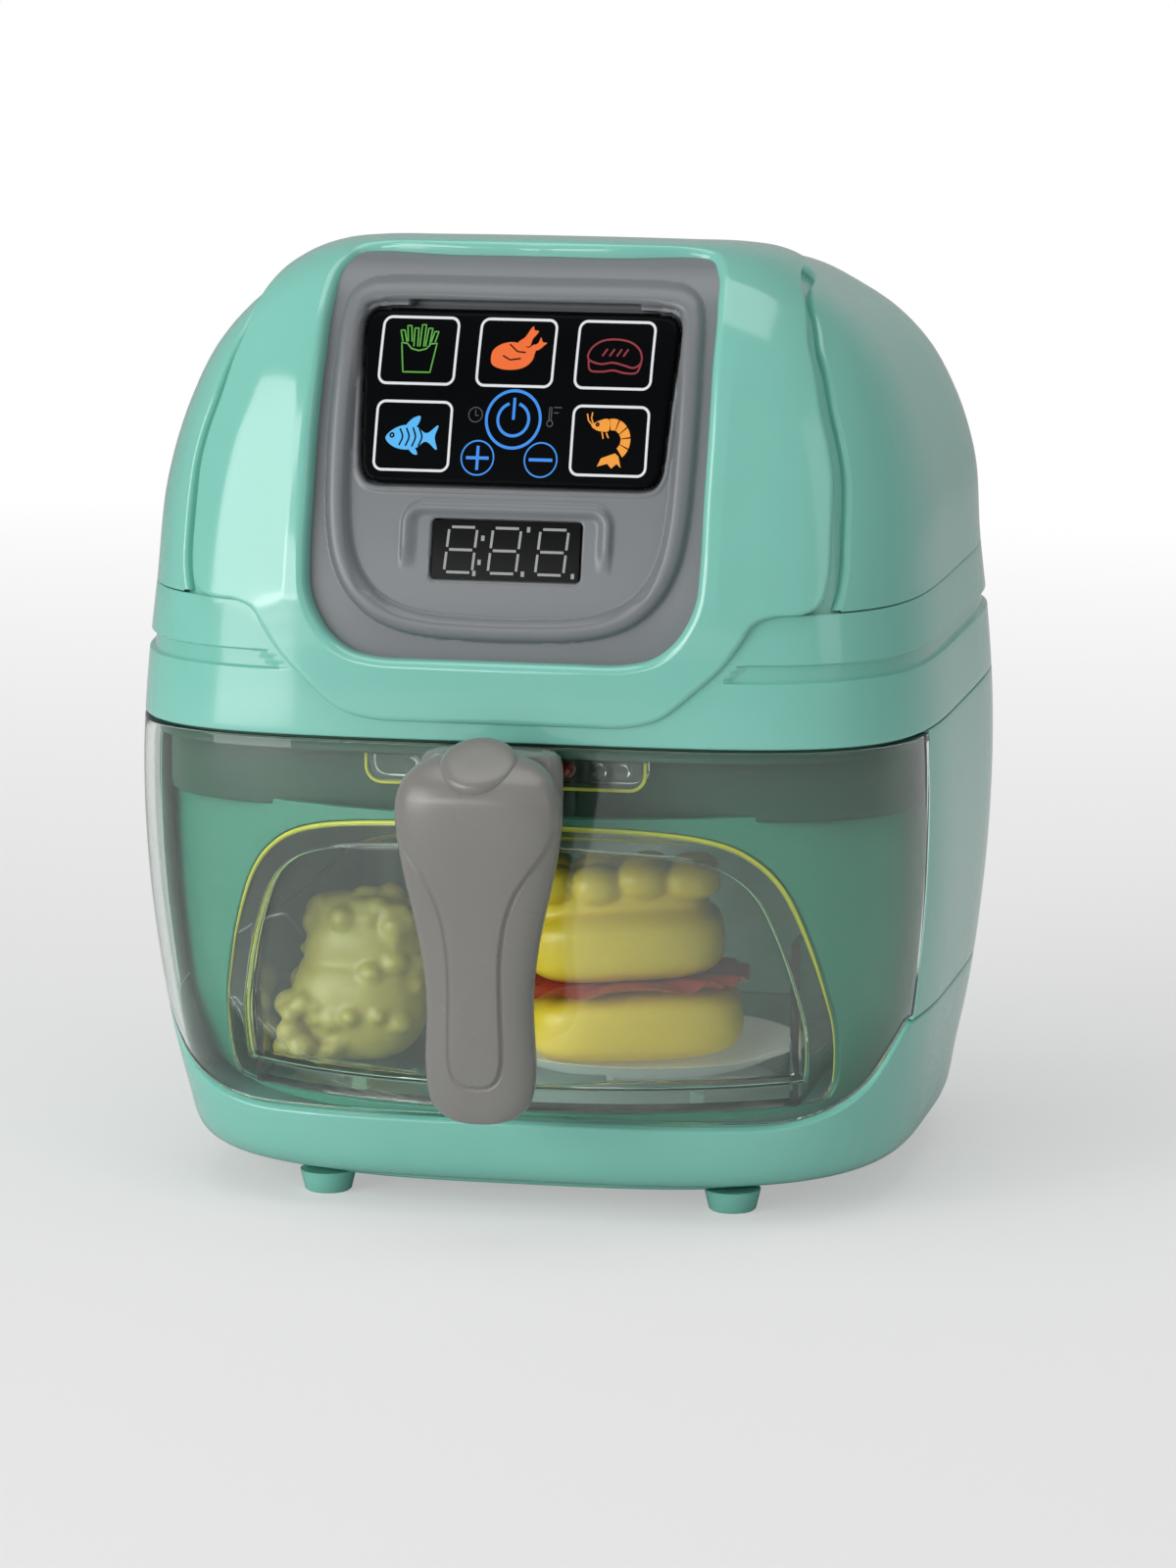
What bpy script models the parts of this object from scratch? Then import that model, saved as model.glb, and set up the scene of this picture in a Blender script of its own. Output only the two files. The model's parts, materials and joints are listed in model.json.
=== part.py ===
"""Toy air fryer: a moulded play appliance with a clear pull-out drawer.

The housing is a rounded square in plan that swells to its widest at the drawer and
closes in a gently sloping top. Everything follows one table of plan sections, so a shell,
its cavity and the pieces that wrap it are the same form, grown or shrunk by a named wall.
Units are metres, +Z is up and the handle looks toward -Y.
"""

import math

import bmesh
import bpy
from mathutils import Matrix, Vector

mm = 0.001

# Overall sizes
body_width = 226.4 * mm
body_depth = 205.0 * mm
body_height = 266.4 * mm
handle_reach = 33.0 * mm

# Clearances and cut overruns
gap = 0.3 * mm
slide_clearance = 0.8 * mm
overrun = 8.0 * mm
weld = 0.01 * mm
corner_reach_share = 0.5

# Levels of the housing
foot_height = 6.0 * mm
base_rim_height = 27.8 * mm
bulkhead_top = 115.4 * mm
shell_top = 136.0 * mm
collar_top = 172.7 * mm
top_slope = 0.10
slope_start_inset = 50.0 * mm
slope_start_height = 190.0 * mm

# Walls
base_wall = 2.8 * mm
shell_wall = 2.6 * mm
clear_wall = 2.4 * mm
collar_wall = 5.0 * mm
dome_wall = 4.2 * mm
bulkhead_wall = 2.4 * mm

# Plan sections: share of height, of half the width, front inset and rear inset as shares of
# the depth, and the power of the rounded-square curve
body_section_shares = (
    (0.0236, 0.6890, 0.1512, 0.1512, 3.4),
    (0.0563, 0.9064, 0.0732, 0.0683, 3.6),
    (0.1059, 0.9293, 0.0556, 0.0537, 3.9),
    (0.1670, 0.9576, 0.0390, 0.0390, 4.0),
    (0.2477, 0.9823, 0.0195, 0.0195, 4.1),
    (0.3472, 1.0000, 0.0059, 0.0078, 4.3),
    (0.4786, 0.9990, 0.0000, 0.0000, 4.6),
    (0.5724, 0.9841, 0.0039, 0.0029, 4.6),
    (0.6494, 0.9647, 0.0127, 0.0098, 4.6),
    (0.7526, 0.9479, 0.0449, 0.0220, 4.5),
    (0.8315, 0.8975, 0.0790, 0.0439, 4.6),
    (0.8934, 0.8304, 0.1132, 0.0756, 4.6),
    (0.9366, 0.7465, 0.1444, 0.1073, 4.6),
    (0.9666, 0.6581, 0.1737, 0.1512, 4.5),
    (0.9854, 0.5919, 0.2078, 0.1976, 4.3),
    (0.9959, 0.5256, 0.2463, 0.2439, 4.1),
    (1.0000, 0.4505, 0.2878, 0.3024, 3.9),
)
plan_points = 44

# Base and what is under it
foot_radius = 8.0 * mm
foot_taper = 1.5 * mm
screw_side_inset = 55.2 * mm
screw_end_inset = 50.5 * mm
deck_thickness = 1.7 * mm
deck_height = 25.8 * mm
rail_height = 3.8 * mm
rail_width = 4.0 * mm
rail_spacing = 96.0 * mm
rail_length = 130.0 * mm
screw_radius = 1.4 * mm
screw_head_radius = 3.0 * mm
screw_head_height = 1.8 * mm
screw_length = 11.0 * mm
screw_recess = 1.0 * mm
boss_radius = 4.2 * mm
lip_rise = 26.0 * mm
groove_height = 1.6 * mm
lip_half_width_shares = (0.654, 0.707, 0.760, 0.813, 0.857, 0.892, 0.936)
lip_rise_shares = (0.012, 0.046, 0.108, 0.215, 0.370, 0.585, 1.0)

# Batteries, under the deck
battery_radius = 7.25 * mm
battery_length = 50.5 * mm
battery_spacing = 15.4 * mm
battery_place_x = -26.0 * mm
battery_place_y = 22.0 * mm
contact_thickness = 0.6 * mm
contact_height = 10.0 * mm
contact_room = 3.2 * mm
box_wall = 1.3 * mm
cover_thickness = 2.0 * mm
cover_tab = 11.0 * mm

# Speaker, in the base
speaker_radius = 18.0 * mm
speaker_height = 9.0 * mm
speaker_side_inset = 61.2 * mm
speaker_place_y = 22.0 * mm
speaker_hole_radius = 1.6 * mm
speaker_ring_radius = 8.0 * mm
speaker_holes = 6

# Bulkhead, arch and tub: the inner front is much rounder in plan than the housing
drawer_split_inset = 45.0 * mm
split_gap = 0.6 * mm
inner_front_power = 2.2
inner_front_grow = 6.0 * mm
bulkhead_inset = 4.0 * mm
bulkhead_back = 75.0 * mm
arch_half_width = 91.0 * mm
arch_height = 81.0 * mm
tub_bottom = 31.6 * mm
arch_width_shares = (0.923, 0.930, 0.945, 0.950, 0.950, 0.925, 0.895, 0.845, 0.770, 0.600, 0.0)
arch_height_shares = (0.0, 0.03, 0.08, 0.16, 0.27, 0.41, 0.56, 0.72, 0.85, 0.955, 1.0)
arch_band = 6.5 * mm
arch_step = 2.5 * mm
arch_rim_depth = 8.0 * mm
tub_wall = 2.2 * mm
tub_half_width = 77.0 * mm
tub_back_inset = 172.0 * mm
tub_wall_height = 46.0 * mm
tub_corner = 24.0 * mm

# Ceiling of the drawer space and its lamps
ceiling_thickness = 4.2 * mm
skirt_inset = 16.0 * mm
skirt_wall = 2.2 * mm
lamp_window_width = 78.0 * mm
lamp_window_height = 8.8 * mm
lamp_window_depth = 6.2 * mm
lamp_window_wall = 1.3 * mm
lamp_radius = 2.3 * mm
lamp_length = 4.0 * mm
lamp_place_shares = (-0.78, -0.54, 0.46, 0.72, 0.90)
red_lamp = 2

# Collar band
collar_groove_height = 156.4 * mm
collar_groove_width = 4.2 * mm
collar_groove_depth = 1.6 * mm
collar_groove_start = 57.0 * mm

# Hood, the raised front frame, with its chin
hood_raise = 2.6 * mm
chin_raise = 1.6 * mm
hood_bed = 2.4 * mm
hood_half_width = 88.0 * mm
hood_bottom = 173.5 * mm
hood_back_inset = 92.0 * mm
channel_width = 6.0 * mm
hood_width_shares = (0.900, 0.965, 0.992, 1.0, 1.006, 0.998, 0.955, 0.918, 0.864, 0.807, 0.755, 0.70)
hood_height_shares = (0.0, 0.012, 0.045, 0.09, 0.23, 0.378, 0.55, 0.665, 0.777, 0.88, 0.975, 1.2)
chin_half_width = 69.0 * mm
chin_drop = 32.2 * mm
chin_width_shares = (0.52, 0.66, 0.75, 0.87, 0.97, 1.0, 1.0)
chin_height_shares = (0.0, 0.06, 0.20, 0.47, 0.80, 0.95, 1.03)

# Control plate
window_half_width = 54.6 * mm
window_bottom = 158.3 * mm
window_height = 106.3 * mm
window_width_shares = (0.62, 0.77, 0.88, 0.955, 0.99, 1.0, 1.0, 0.985, 0.955, 0.91)
window_height_shares = (0.0, 0.018, 0.06, 0.115, 0.165, 0.23, 0.80, 0.90, 0.965, 1.0)
lip_wall = 2.4 * mm
lip_depth = 8.0 * mm
plate_recess = 4.0 * mm
plate_flange = 2.2 * mm
flange_drop = 12.5 * mm
bezel_half_width = 51.5 * mm
bezel_bottom = 163.2 * mm
bezel_height = 95.0 * mm
bezel_band = 4.6 * mm
bezel_raise = 2.8 * mm
bezel_width_shares = (0.40, 0.72, 0.86, 0.94, 0.985, 1.0, 0.985, 0.975, 0.93, 0.84)
bezel_height_shares = (0.0, 0.065, 0.15, 0.25, 0.34, 0.48, 0.80, 0.92, 0.975, 1.0)
post_radius = 2.5 * mm
post_spacing = 99.0 * mm

# Press plate with the printed keys
press_half_width = 44.0 * mm
press_bottom = 204.6 * mm
press_height = 45.4 * mm
press_width_shares = (0.80, 0.90, 0.945, 0.955, 0.99, 1.0, 0.97, 0.90)
press_height_shares = (0.0, 0.03, 0.09, 0.18, 0.80, 0.91, 0.97, 1.0)
press_thickness = 2.4 * mm
press_flange = 1.6 * mm
press_edge = 0.5 * mm
press_travel = 1.5 * mm
press_stem_radius = 3.0 * mm
key_slot_half_width = 32.0 * mm
key_slot_height = 1.9 * mm

# Display window and its hooked ridge
display_half_width = 20.6 * mm
display_height = 15.6 * mm
display_bottom = 179.6 * mm
display_thickness = 2.0 * mm
ridge_half_width = 29.6 * mm
ridge_top = 200.6 * mm
ridge_drop = 18.0 * mm
ridge_width = 2.2 * mm
ridge_raise = 1.0 * mm
ridge_corner = 5.0 * mm

# Electronics behind the plate
board_half_width = 53.0 * mm
board_bottom = 178.0 * mm
board_top = 250.0 * mm
board_thickness = 1.6 * mm
board_standoff = 23.0 * mm
key_switch_size = 12.0 * mm
key_switch_height = 4.0 * mm
key_switch_button = 2.0 * mm
display_block_depth = 14.0 * mm

# Power switch in the back of the collar
power_slot_height = 145.6 * mm
power_knob_width = 6.0 * mm
power_knob_height = 4.4 * mm
power_knob_reach = 0.3 * mm
power_travel = 8.0 * mm
power_box_depth = 9.0 * mm
power_box_height = 9.0 * mm
power_box_margin = 4.0 * mm

# Handle
handle_height = 104.0 * mm
handle_bottom = 35.5 * mm
handle_half_width = 22.8 * mm
handle_thickness = 18.0 * mm
handle_points = 24
handle_section_shares = (
    (0.0, 0.24, 0.36, 0.90),
    (0.016, 0.44, 0.30, 0.96),
    (0.053, 0.60, 0.25, 0.99),
    (0.11, 0.66, 0.22, 1.0),
    (0.19, 0.665, 0.20, 1.0),
    (0.285, 0.640, 0.17, 0.98),
    (0.38, 0.655, 0.14, 0.96),
    (0.475, 0.715, 0.11, 0.94),
    (0.57, 0.805, 0.08, 0.93),
    (0.67, 0.91, 0.04, 0.93),
    (0.78, 0.99, 0.0, 0.94),
    (0.85, 1.0, 0.0, 0.95),
    (0.885, 0.955, 0.03, 0.95),
    (0.915, 0.895, 0.10, 0.95),
    (0.94, 0.78, 0.25, 0.95),
    (0.96, 0.64, 0.42, 0.95),
    (0.97, 0.45, 0.58, 0.90),
)
handle_power = 2.8
tongue_half_width = 6.6 * mm
tongue_raise = 0.8 * mm
tongue_width_shares = (0.45, 0.80, 0.99, 1.0, 1.02, 1.10, 1.55, 2.2, 2.85, 3.4, 3.7)
tongue_height_shares = (0.10, 0.112, 0.15, 0.20, 0.40, 0.50, 0.58, 0.64, 0.70, 0.78, 1.2)
thumb_radius = 10.6 * mm
thumb_height = 3.6 * mm
thumb_tilt = 0.55
thumb_drop = 6.3 * mm
thumb_inset = 9.4 * mm
neck_half_width = 19.5 * mm
neck_bottom = 112.5 * mm
neck_top = 135.6 * mm
neck_power = 3.4
neck_section_shares = ((0.0, 0.86), (0.04, 0.97), (0.155, 1.0), (0.845, 1.0), (0.96, 0.97), (1.0, 0.86))
neck_seat_share = 0.95
neck_screw_spacing = 22.0 * mm

# Play food in the drawer
food_edge_power = 0.75
round_power = 2.0
dish_half_width = 46.0 * mm
dish_half_depth = 40.0 * mm
dish_height = 7.0 * mm
dish_place_x = 25.0 * mm
dish_inset = 71.0 * mm
dish_section_shares = ((0.0, 0.62), (0.25, 0.74), (1.0, 1.0), (1.0, 0.95), (0.52, 0.70), (0.36, 0.60))
dish_points = 28
bread_half_length = 30.0 * mm
bread_half_depth = 21.0 * mm
bread_lower_height = 17.0 * mm
bread_upper_height = 35.0 * mm
bread_points = 28
bread_crust_shares = ((0.0, 0.90), (0.12, 0.99), (0.5, 1.0), (0.88, 0.98), (1.0, 0.88))
bread_wave_share = 0.035
bread_wave_count = 9
filling_thickness = 1.8 * mm
filling_half_length = 32.0 * mm
filling_half_depth = 23.0 * mm
filling_power = 2.6
crisps_half_width = 21.0 * mm
crisps_half_depth = 18.0 * mm
crisps_height = 54.0 * mm
crisps_place_x = -51.5 * mm
crisps_inset = 54.0 * mm
crisps_lean = 4.0 * mm
crisps_wave_share = 0.09
crisps_wave_count = 7
crisps_section_shares = ((0.0, 0.78), (0.10, 0.98), (0.28, 0.92), (0.42, 1.0), (0.56, 0.88), (0.70, 0.92),
                         (0.84, 0.74), (0.95, 0.66), (1.0, 0.42))

# Worked-out places
half_width = body_width / 2
total_depth = body_depth + handle_reach
front_y = handle_reach - total_depth / 2
rear_y = front_y + body_depth
middle_y = (front_y + rear_y) / 2
base_bottom = foot_height + gap
base_floor_top = base_bottom + base_wall
collar_bottom = shell_top + gap
dome_bottom = collar_top + gap
drawer_top = shell_top - slide_clearance + gap
cover_top = base_bottom + cover_thickness
plate_room = lip_depth + plate_flange + 2 * slide_clearance
cover_screw_x = (battery_place_x + battery_length / 2 + contact_room + cover_tab - screw_head_radius
                 - slide_clearance)

MINT = ("mint plastic", (0.26, 0.62, 0.49), 0.22, 0.0)
GREY = ("grey plastic", (0.21, 0.22, 0.23), 0.35, 0.0)
BLACK = ("black gloss plastic", (0.01, 0.01, 0.012), 0.1, 0.0)
CLEAR = ("clear plastic", (0.72, 0.84, 0.74), 0.08, 0.0)
RED = ("red plastic", (0.5, 0.03, 0.03), 0.25, 0.0)
WHITE = ("white plastic", (0.75, 0.76, 0.74), 0.3, 0.0)
BREAD = ("yellow soft plastic", (0.55, 0.50, 0.13), 0.45, 0.0)
CRISP = ("light yellow soft plastic", (0.45, 0.50, 0.14), 0.45, 0.0)
BOARD = ("green circuit board", (0.03, 0.22, 0.09), 0.4, 0.0)
STEEL = ("zinc plated steel", (0.55, 0.56, 0.58), 0.3, 1.0)
CELL = ("battery sleeve", (0.08, 0.09, 0.11), 0.3, 0.2)


def start_collections():
    """Empty the scene and return the collections for the parts and for the cutters."""
    for thing in list(bpy.data.objects):
        bpy.data.objects.remove(thing, do_unlink=True)
    parts = bpy.data.collections.new("toy_air_fryer")
    cutters = bpy.data.collections.new("toy_air_fryer_cutters")
    bpy.context.scene.collection.children.link(parts)
    bpy.context.scene.collection.children.link(cutters)
    return parts, cutters


def paint(piece, look):
    """Give a piece a Principled material made from a (name, colour, roughness, metallic) look."""
    name, colour, roughness, metallic = look
    material = bpy.data.materials.get(name) or bpy.data.materials.new(name)
    material.use_nodes = True
    shader = material.node_tree.nodes["Principled BSDF"]
    shader.inputs["Base Color"].default_value = (*colour, 1.0)
    shader.inputs["Roughness"].default_value = roughness
    shader.inputs["Metallic"].default_value = metallic
    material.diffuse_color = (*colour, 1.0)
    piece.data.materials.clear()
    piece.data.materials.append(material)


def add_object(name, shape):
    """Turn a bmesh into an object; names that start with an underscore are cutters."""
    bmesh.ops.recalc_face_normals(shape, faces=shape.faces)
    mesh = bpy.data.meshes.new(name)
    shape.to_mesh(mesh)
    shape.free()
    return place_object(bpy.data.objects.new(name, mesh))


def place_object(piece):
    """Link an object to its collection, and hide it if it is a cutter."""
    cutter = piece.name.startswith("_")
    (CUTTERS if cutter else PARTS).objects.link(piece)
    if cutter:
        piece.hide_render = True
        piece.display_type = "WIRE"
    return piece


def change(piece, other, operation):
    """Add a Boolean modifier that cuts, joins or keeps what another object covers."""
    modifier = piece.modifiers.new(f"{operation.lower()} {other.name}", "BOOLEAN")
    modifier.operation = operation
    modifier.object = other
    modifier.solver = "EXACT"
    return piece


def cut(piece, *others):
    """Cut each of the other objects out of a piece."""
    for other in others:
        change(piece, other, "DIFFERENCE")
    return piece


def join(piece, *others):
    """Fuse each of the other objects into a piece."""
    for other in others:
        change(piece, other, "UNION")
    return piece


def keep(piece, *others):
    """Keep only what each of the other objects covers."""
    for other in others:
        change(piece, other, "INTERSECT")
    return piece


def section_at(height):
    """Return half width, front inset, rear inset and power of the housing at a height."""
    rows = body_section_shares
    share = min(max(height / body_height, rows[0][0]), rows[-1][0])
    for lower, upper in zip(rows, rows[1:]):
        if share <= upper[0]:
            break
    blend = (share - lower[0]) / (upper[0] - lower[0])
    values = [a + (b - a) * blend for a, b in zip(lower, upper)]
    return values[1] * half_width, values[2] * body_depth, values[3] * body_depth, values[4]


def front_inset(height):
    """Return how far the housing's front lies behind its foremost line at a height."""
    return section_at(height)[1]


def signed_power(value, power):
    """Raise a value to a power and keep its sign."""
    return math.copysign(abs(value) ** power, value)


def oval(half_x, half_y, power, count):
    """Return the points of a rounded-square curve round the origin."""
    turns = [math.tau * step / count for step in range(count)]
    return [(half_x * signed_power(math.cos(a), 2 / power), half_y * signed_power(math.sin(a), 2 / power))
            for a in turns]


def plan_ring(height, grow, front_extra, power):
    """Return one plan section of the housing, grown by a wall, as points in space."""
    half, front, rear, own_power = section_at(height)
    front += front_extra
    centre = front_y + (front + body_depth - rear) / 2
    half_depth = (body_depth - front - rear) / 2 + grow
    level = height
    if height > dome_bottom:
        level += grow * (height - dome_bottom) / (body_height - dome_bottom)
    if height < base_rim_height:
        level -= grow * (base_rim_height - height) / (base_rim_height - base_bottom)
    fall = max(0, min(1, (height - slope_start_height) / (body_height - slope_start_height))) * top_slope
    ring = []
    for x, y in oval(half + grow, half_depth, power or own_power, plan_points):
        behind = max(0, centre + y - front_y - slope_start_inset)
        ring.append(Vector((x, centre + y, level - fall * behind)))
    return ring


def ring_solid(name, rings):
    """Skin a row of rings with equal point counts into one closed solid."""
    shape = bmesh.new()
    rows = [[shape.verts.new(point) for point in ring] for ring in rings]
    count = len(rings[0])
    for lower, upper in zip(rows, rows[1:]):
        for i in range(count):
            j = (i + 1) % count
            shape.faces.new((lower[i], lower[j], upper[j], upper[i]))
    shape.faces.new(list(reversed(rows[0])))
    shape.faces.new(rows[-1])
    return add_object(name, shape)


def housing(name, low, high, grow=0.0, front_extra=0.0, power=None):
    """Make a solid of the housing's form between two heights, grown by a wall."""
    levels = [row[0] * body_height for row in body_section_shares]
    heights = [low] + [level for level in levels if low < level < high] + [high]
    return ring_solid(name, [plan_ring(height, grow, front_extra, power) for height in heights])


def box(name, low, high):
    """Make a box between two corners."""
    shape = bmesh.new()
    bmesh.ops.create_cube(shape, size=1.0)
    size = Vector(high) - Vector(low)
    middle = (Vector(high) + Vector(low)) / 2
    bmesh.ops.transform(shape, matrix=Matrix.Translation(middle) @ Matrix.Diagonal((*size, 1.0)), verts=shape.verts)
    return add_object(name, shape)


def rod(name, radius, start, end, end_radius=None, segments=24):
    """Make a rod or cone between two points."""
    start, end = Vector(start), Vector(end)
    shape = bmesh.new()
    bmesh.ops.create_cone(shape, cap_ends=True, segments=segments, radius1=radius,
                          radius2=radius if end_radius is None else end_radius, depth=(end - start).length)
    turn = (end - start).to_track_quat("Z", "Y").to_matrix().to_4x4()
    bmesh.ops.transform(shape, matrix=Matrix.Translation((start + end) / 2) @ turn, verts=shape.verts)
    return add_object(name, shape)


def outline_solid(name, points, thickness, matrix):
    """Make a flat piece from a closed 2D outline, as a mesh that can be cut."""
    curve = bpy.data.curves.new(name, "CURVE")
    curve.dimensions = "2D"
    curve.fill_mode = "BOTH"
    curve.extrude = thickness / 2
    spline = curve.splines.new("POLY")
    spline.points.add(len(points) - 1)
    for place, (x, y) in zip(spline.points, points):
        place.co = (x, y, 0.0, 1.0)
    spline.use_cyclic_u = True
    guide = bpy.data.objects.new(name + "_curve", curve)
    CUTTERS.objects.link(guide)
    bpy.context.view_layer.update()
    mesh = bpy.data.meshes.new_from_object(guide.evaluated_get(bpy.context.evaluated_depsgraph_get()))
    bpy.data.objects.remove(guide, do_unlink=True)
    shape = bmesh.new()
    shape.from_mesh(mesh)
    bmesh.ops.remove_doubles(shape, verts=shape.verts, dist=weld)
    bmesh.ops.transform(shape, matrix=matrix, verts=shape.verts)
    bpy.data.meshes.remove(mesh)
    return add_object(name, shape)


def front_solid(name, points, near, far):
    """Extrude an outline drawn in the front view (x, z) between two depths."""
    stand = Matrix.Translation((0, (near + far) / 2, 0)) @ Matrix.Rotation(math.radians(90), 4, "X")
    return outline_solid(name, points, far - near, stand)


def side_solid(name, points, half):
    """Extrude an outline drawn in the side view (y, z) to both sides of the middle."""
    turn = Matrix(((0, 0, 1, 0), (1, 0, 0, 0), (0, 1, 0, 0), (0, 0, 0, 1)))
    return outline_solid(name, points, 2 * half, turn)


def top_solid(name, points, low, high):
    """Extrude an outline drawn in plan (x, y) between two heights."""
    return outline_solid(name, points, high - low, Matrix.Translation((0, 0, (low + high) / 2)))


def quarter_turns(steps):
    """Return the angles of a quarter circle, cut into equal steps."""
    return [math.radians(90) * step / steps for step in range(steps + 1)]


def mirrored(half_points):
    """Complete a right-hand half outline, bottom to top, with its mirror image."""
    left = [(-x, z) for x, z in reversed(half_points) if x > 0]
    return list(half_points) + left


def shared_outline(width, width_shares, bottom, height, height_shares):
    """Work out a symmetric front outline from shares of its half width and height."""
    return mirrored([(width * w, bottom + height * h) for w, h in zip(width_shares, height_shares)])


def grown(points, amount):
    """Move a counter-clockwise outline outward by an amount."""
    result = []
    for i, (x, z) in enumerate(points):
        before = Vector(points[i - 1])
        after = Vector(points[(i + 1) % len(points)])
        here = Vector((x, z))
        first = (here - before).normalized()
        second = (after - here).normalized()
        normal = Vector((first.y + second.y, -first.x - second.x)).normalized()
        reach = amount / max(normal.dot(Vector((second.y, -second.x))), corner_reach_share)
        result.append((x + normal.x * reach, z + normal.y * reach))
    return result


def front_slab(name, low, high, near, far, half):
    """Make a slab that follows the housing's front profile between two depths behind it."""
    levels = [row[0] * body_height for row in body_section_shares]
    heights = [low] + [level for level in levels if low < level < high] + [high]
    front = [(front_y + front_inset(z) + near, z) for z in heights]
    back = [(front_y + front_inset(z) + far, z) for z in reversed(heights)]
    return side_solid(name, front + back, half)


def window_outline():
    """Outline of the opening in the hood that shows the control plate."""
    return shared_outline(window_half_width, window_width_shares, window_bottom, window_height, window_height_shares)


def arch_outline():
    """Outline of the arch in the tub's rounded front."""
    return shared_outline(arch_half_width, arch_width_shares, tub_bottom, arch_height, arch_height_shares)


def hood_outline():
    """Outline of the hood's pillars in the front view."""
    height = body_height - hood_bottom
    return shared_outline(hood_half_width, hood_width_shares, hood_bottom, height, hood_height_shares)


def press_outline():
    """Outline of the printed press plate."""
    return shared_outline(press_half_width, press_width_shares, press_bottom, press_height, press_height_shares)


def lip_line(shift):
    """Right half of the line where the drawer and shell meet the base, shifted up."""
    return [(half_width * w, base_rim_height + shift + lip_rise * h)
            for w, h in zip(lip_half_width_shares, lip_rise_shares)]


def above_lip(name, shift):
    """Solid of everything above the lip line."""
    side = half_width + overrun
    right = lip_line(shift) + [(side, base_rim_height + shift + lip_rise), (side, body_height)]
    return front_solid(name, mirrored(right), front_y - overrun, rear_y + overrun)


def below_lip(name, shift):
    """Solid of everything below the lip line."""
    side = half_width + overrun
    right = [(side, 0), (side, base_rim_height + shift + lip_rise)] + list(reversed(lip_line(shift)))
    return front_solid(name, mirrored(right), front_y - overrun, rear_y + overrun)


def screw_places():
    """Places of the four screws that hold the base, over its feet's inner side."""
    across = half_width - screw_side_inset
    along = body_depth / 2 - screw_end_inset
    return [(x * across, middle_y + y * along) for x in (-1, 1) for y in (-1, 1)]


def battery_middle():
    """Centre of the battery bay in plan."""
    return battery_place_x, middle_y + battery_place_y


def battery_room():
    """Half sizes of the battery bay's inside in plan."""
    return battery_length / 2 + contact_room, battery_spacing / 2 + battery_radius + gap


def make_base():
    """Base tray with the battery opening, speaker holes and screw holes."""
    base = housing("base_tray", base_bottom, base_rim_height + lip_rise + overrun)
    inner = housing("_base_inside", base_bottom, base_rim_height + lip_rise + 2 * overrun, -base_wall)
    cut(base, inner, above_lip("_base_lip", 0.0))
    x, y = battery_middle()
    room_x, room_y = battery_room()
    opening = box("_battery_opening", (x - room_x, y - room_y, 0), (x + room_x, y + room_y,
                                                                    base_floor_top + overrun))
    tab = box("_cover_tab", (x, y - room_y, 0), (x + room_x + cover_tab, y + room_y, cover_top + gap))
    boss = rod("_cover_boss", boss_radius, (cover_screw_x, y, cover_top + 2 * gap),
               (cover_screw_x, y, base_floor_top + screw_length / 2), segments=16)
    hole = rod("_cover_boss_hole", screw_radius + gap, (cover_screw_x, y, 0),
               (cover_screw_x, y, base_floor_top + screw_length / 2 - gap), segments=12)
    cut(join(cut(base, opening), boss), tab, hole)
    for index, (sx, sy) in enumerate(speaker_hole_places()):
        cut(base, rod(f"_speaker_hole_{index}", speaker_hole_radius, (sx, sy, 0), (sx, sy, base_floor_top + overrun),
                      segments=10))
    for index, (sx, sy) in enumerate(screw_places()):
        cut(base, rod(f"_base_screw_hole_{index}", screw_radius + gap, (sx, sy, 0),
                      (sx, sy, base_floor_top + gap), segments=12))
        cut(base, rod(f"_base_screw_recess_{index}", screw_head_radius + gap, (sx, sy, 0),
                      (sx, sy, base_bottom + screw_recess), segments=12))
    paint(base, MINT)
    make_feet()
    make_deck()
    make_screws()
    make_battery_bay()
    make_speaker()


def speaker_hole_places():
    """Places of the speaker holes: one in the middle and a ring."""
    x, y = half_width - speaker_side_inset, middle_y + speaker_place_y
    ring = [math.tau * step / speaker_holes for step in range(speaker_holes)]
    return [(x, y)] + [(x + speaker_ring_radius * math.cos(a), y + speaker_ring_radius * math.sin(a)) for a in ring]


def make_feet():
    """Four tapered feet, set outside the base screws."""
    for index, (x, y) in enumerate(screw_places()):
        reach = foot_radius + screw_head_radius + slide_clearance
        y += math.copysign(reach, y - middle_y)
        side = "left" if x < 0 else "right"
        end = "front" if y < middle_y else "back"
        foot = rod(f"foot_{end}_{side}", foot_radius - foot_taper, (x, y, 0), (x, y, foot_height), foot_radius)
        paint(foot, MINT)


def make_deck():
    """Deck over the base that the drawer slides on, with its rails and screw bosses."""
    deck = housing("drawer_deck", deck_height, deck_height + deck_thickness, -(base_wall + gap))
    for side in (-1, 1):
        x = side * rail_spacing / 2
        low = (x - rail_width / 2, middle_y - rail_length / 2, deck_height + deck_thickness / 2)
        high = (x + rail_width / 2, middle_y + rail_length / 2, deck_height + deck_thickness + rail_height)
        join(deck, box(f"_rail_{side}", low, high))
    for index, (x, y) in enumerate(screw_places()):
        join(deck, rod(f"_boss_{index}", boss_radius, (x, y, base_floor_top + gap),
                       (x, y, deck_height + deck_thickness / 2), segments=16))
        cut(deck, rod(f"_boss_hole_{index}", screw_radius + gap, (x, y, 0),
                      (x, y, base_bottom + screw_recess + screw_length + gap), segments=12))
    paint(deck, MINT)


def make_screws():
    """Screws that hold the base to the deck, heads sunk in the base."""
    for index, (x, y) in enumerate(screw_places()):
        top = base_bottom + screw_recess - gap
        screw = rod(f"base_screw_{index + 1}", screw_head_radius, (x, y, top - screw_head_height), (x, y, top),
                    segments=16)
        join(screw, rod(f"_screw_shank_{index}", screw_radius, (x, y, top - screw_head_height / 2),
                        (x, y, top + screw_length), segments=12))
        paint(screw, STEEL)


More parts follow.
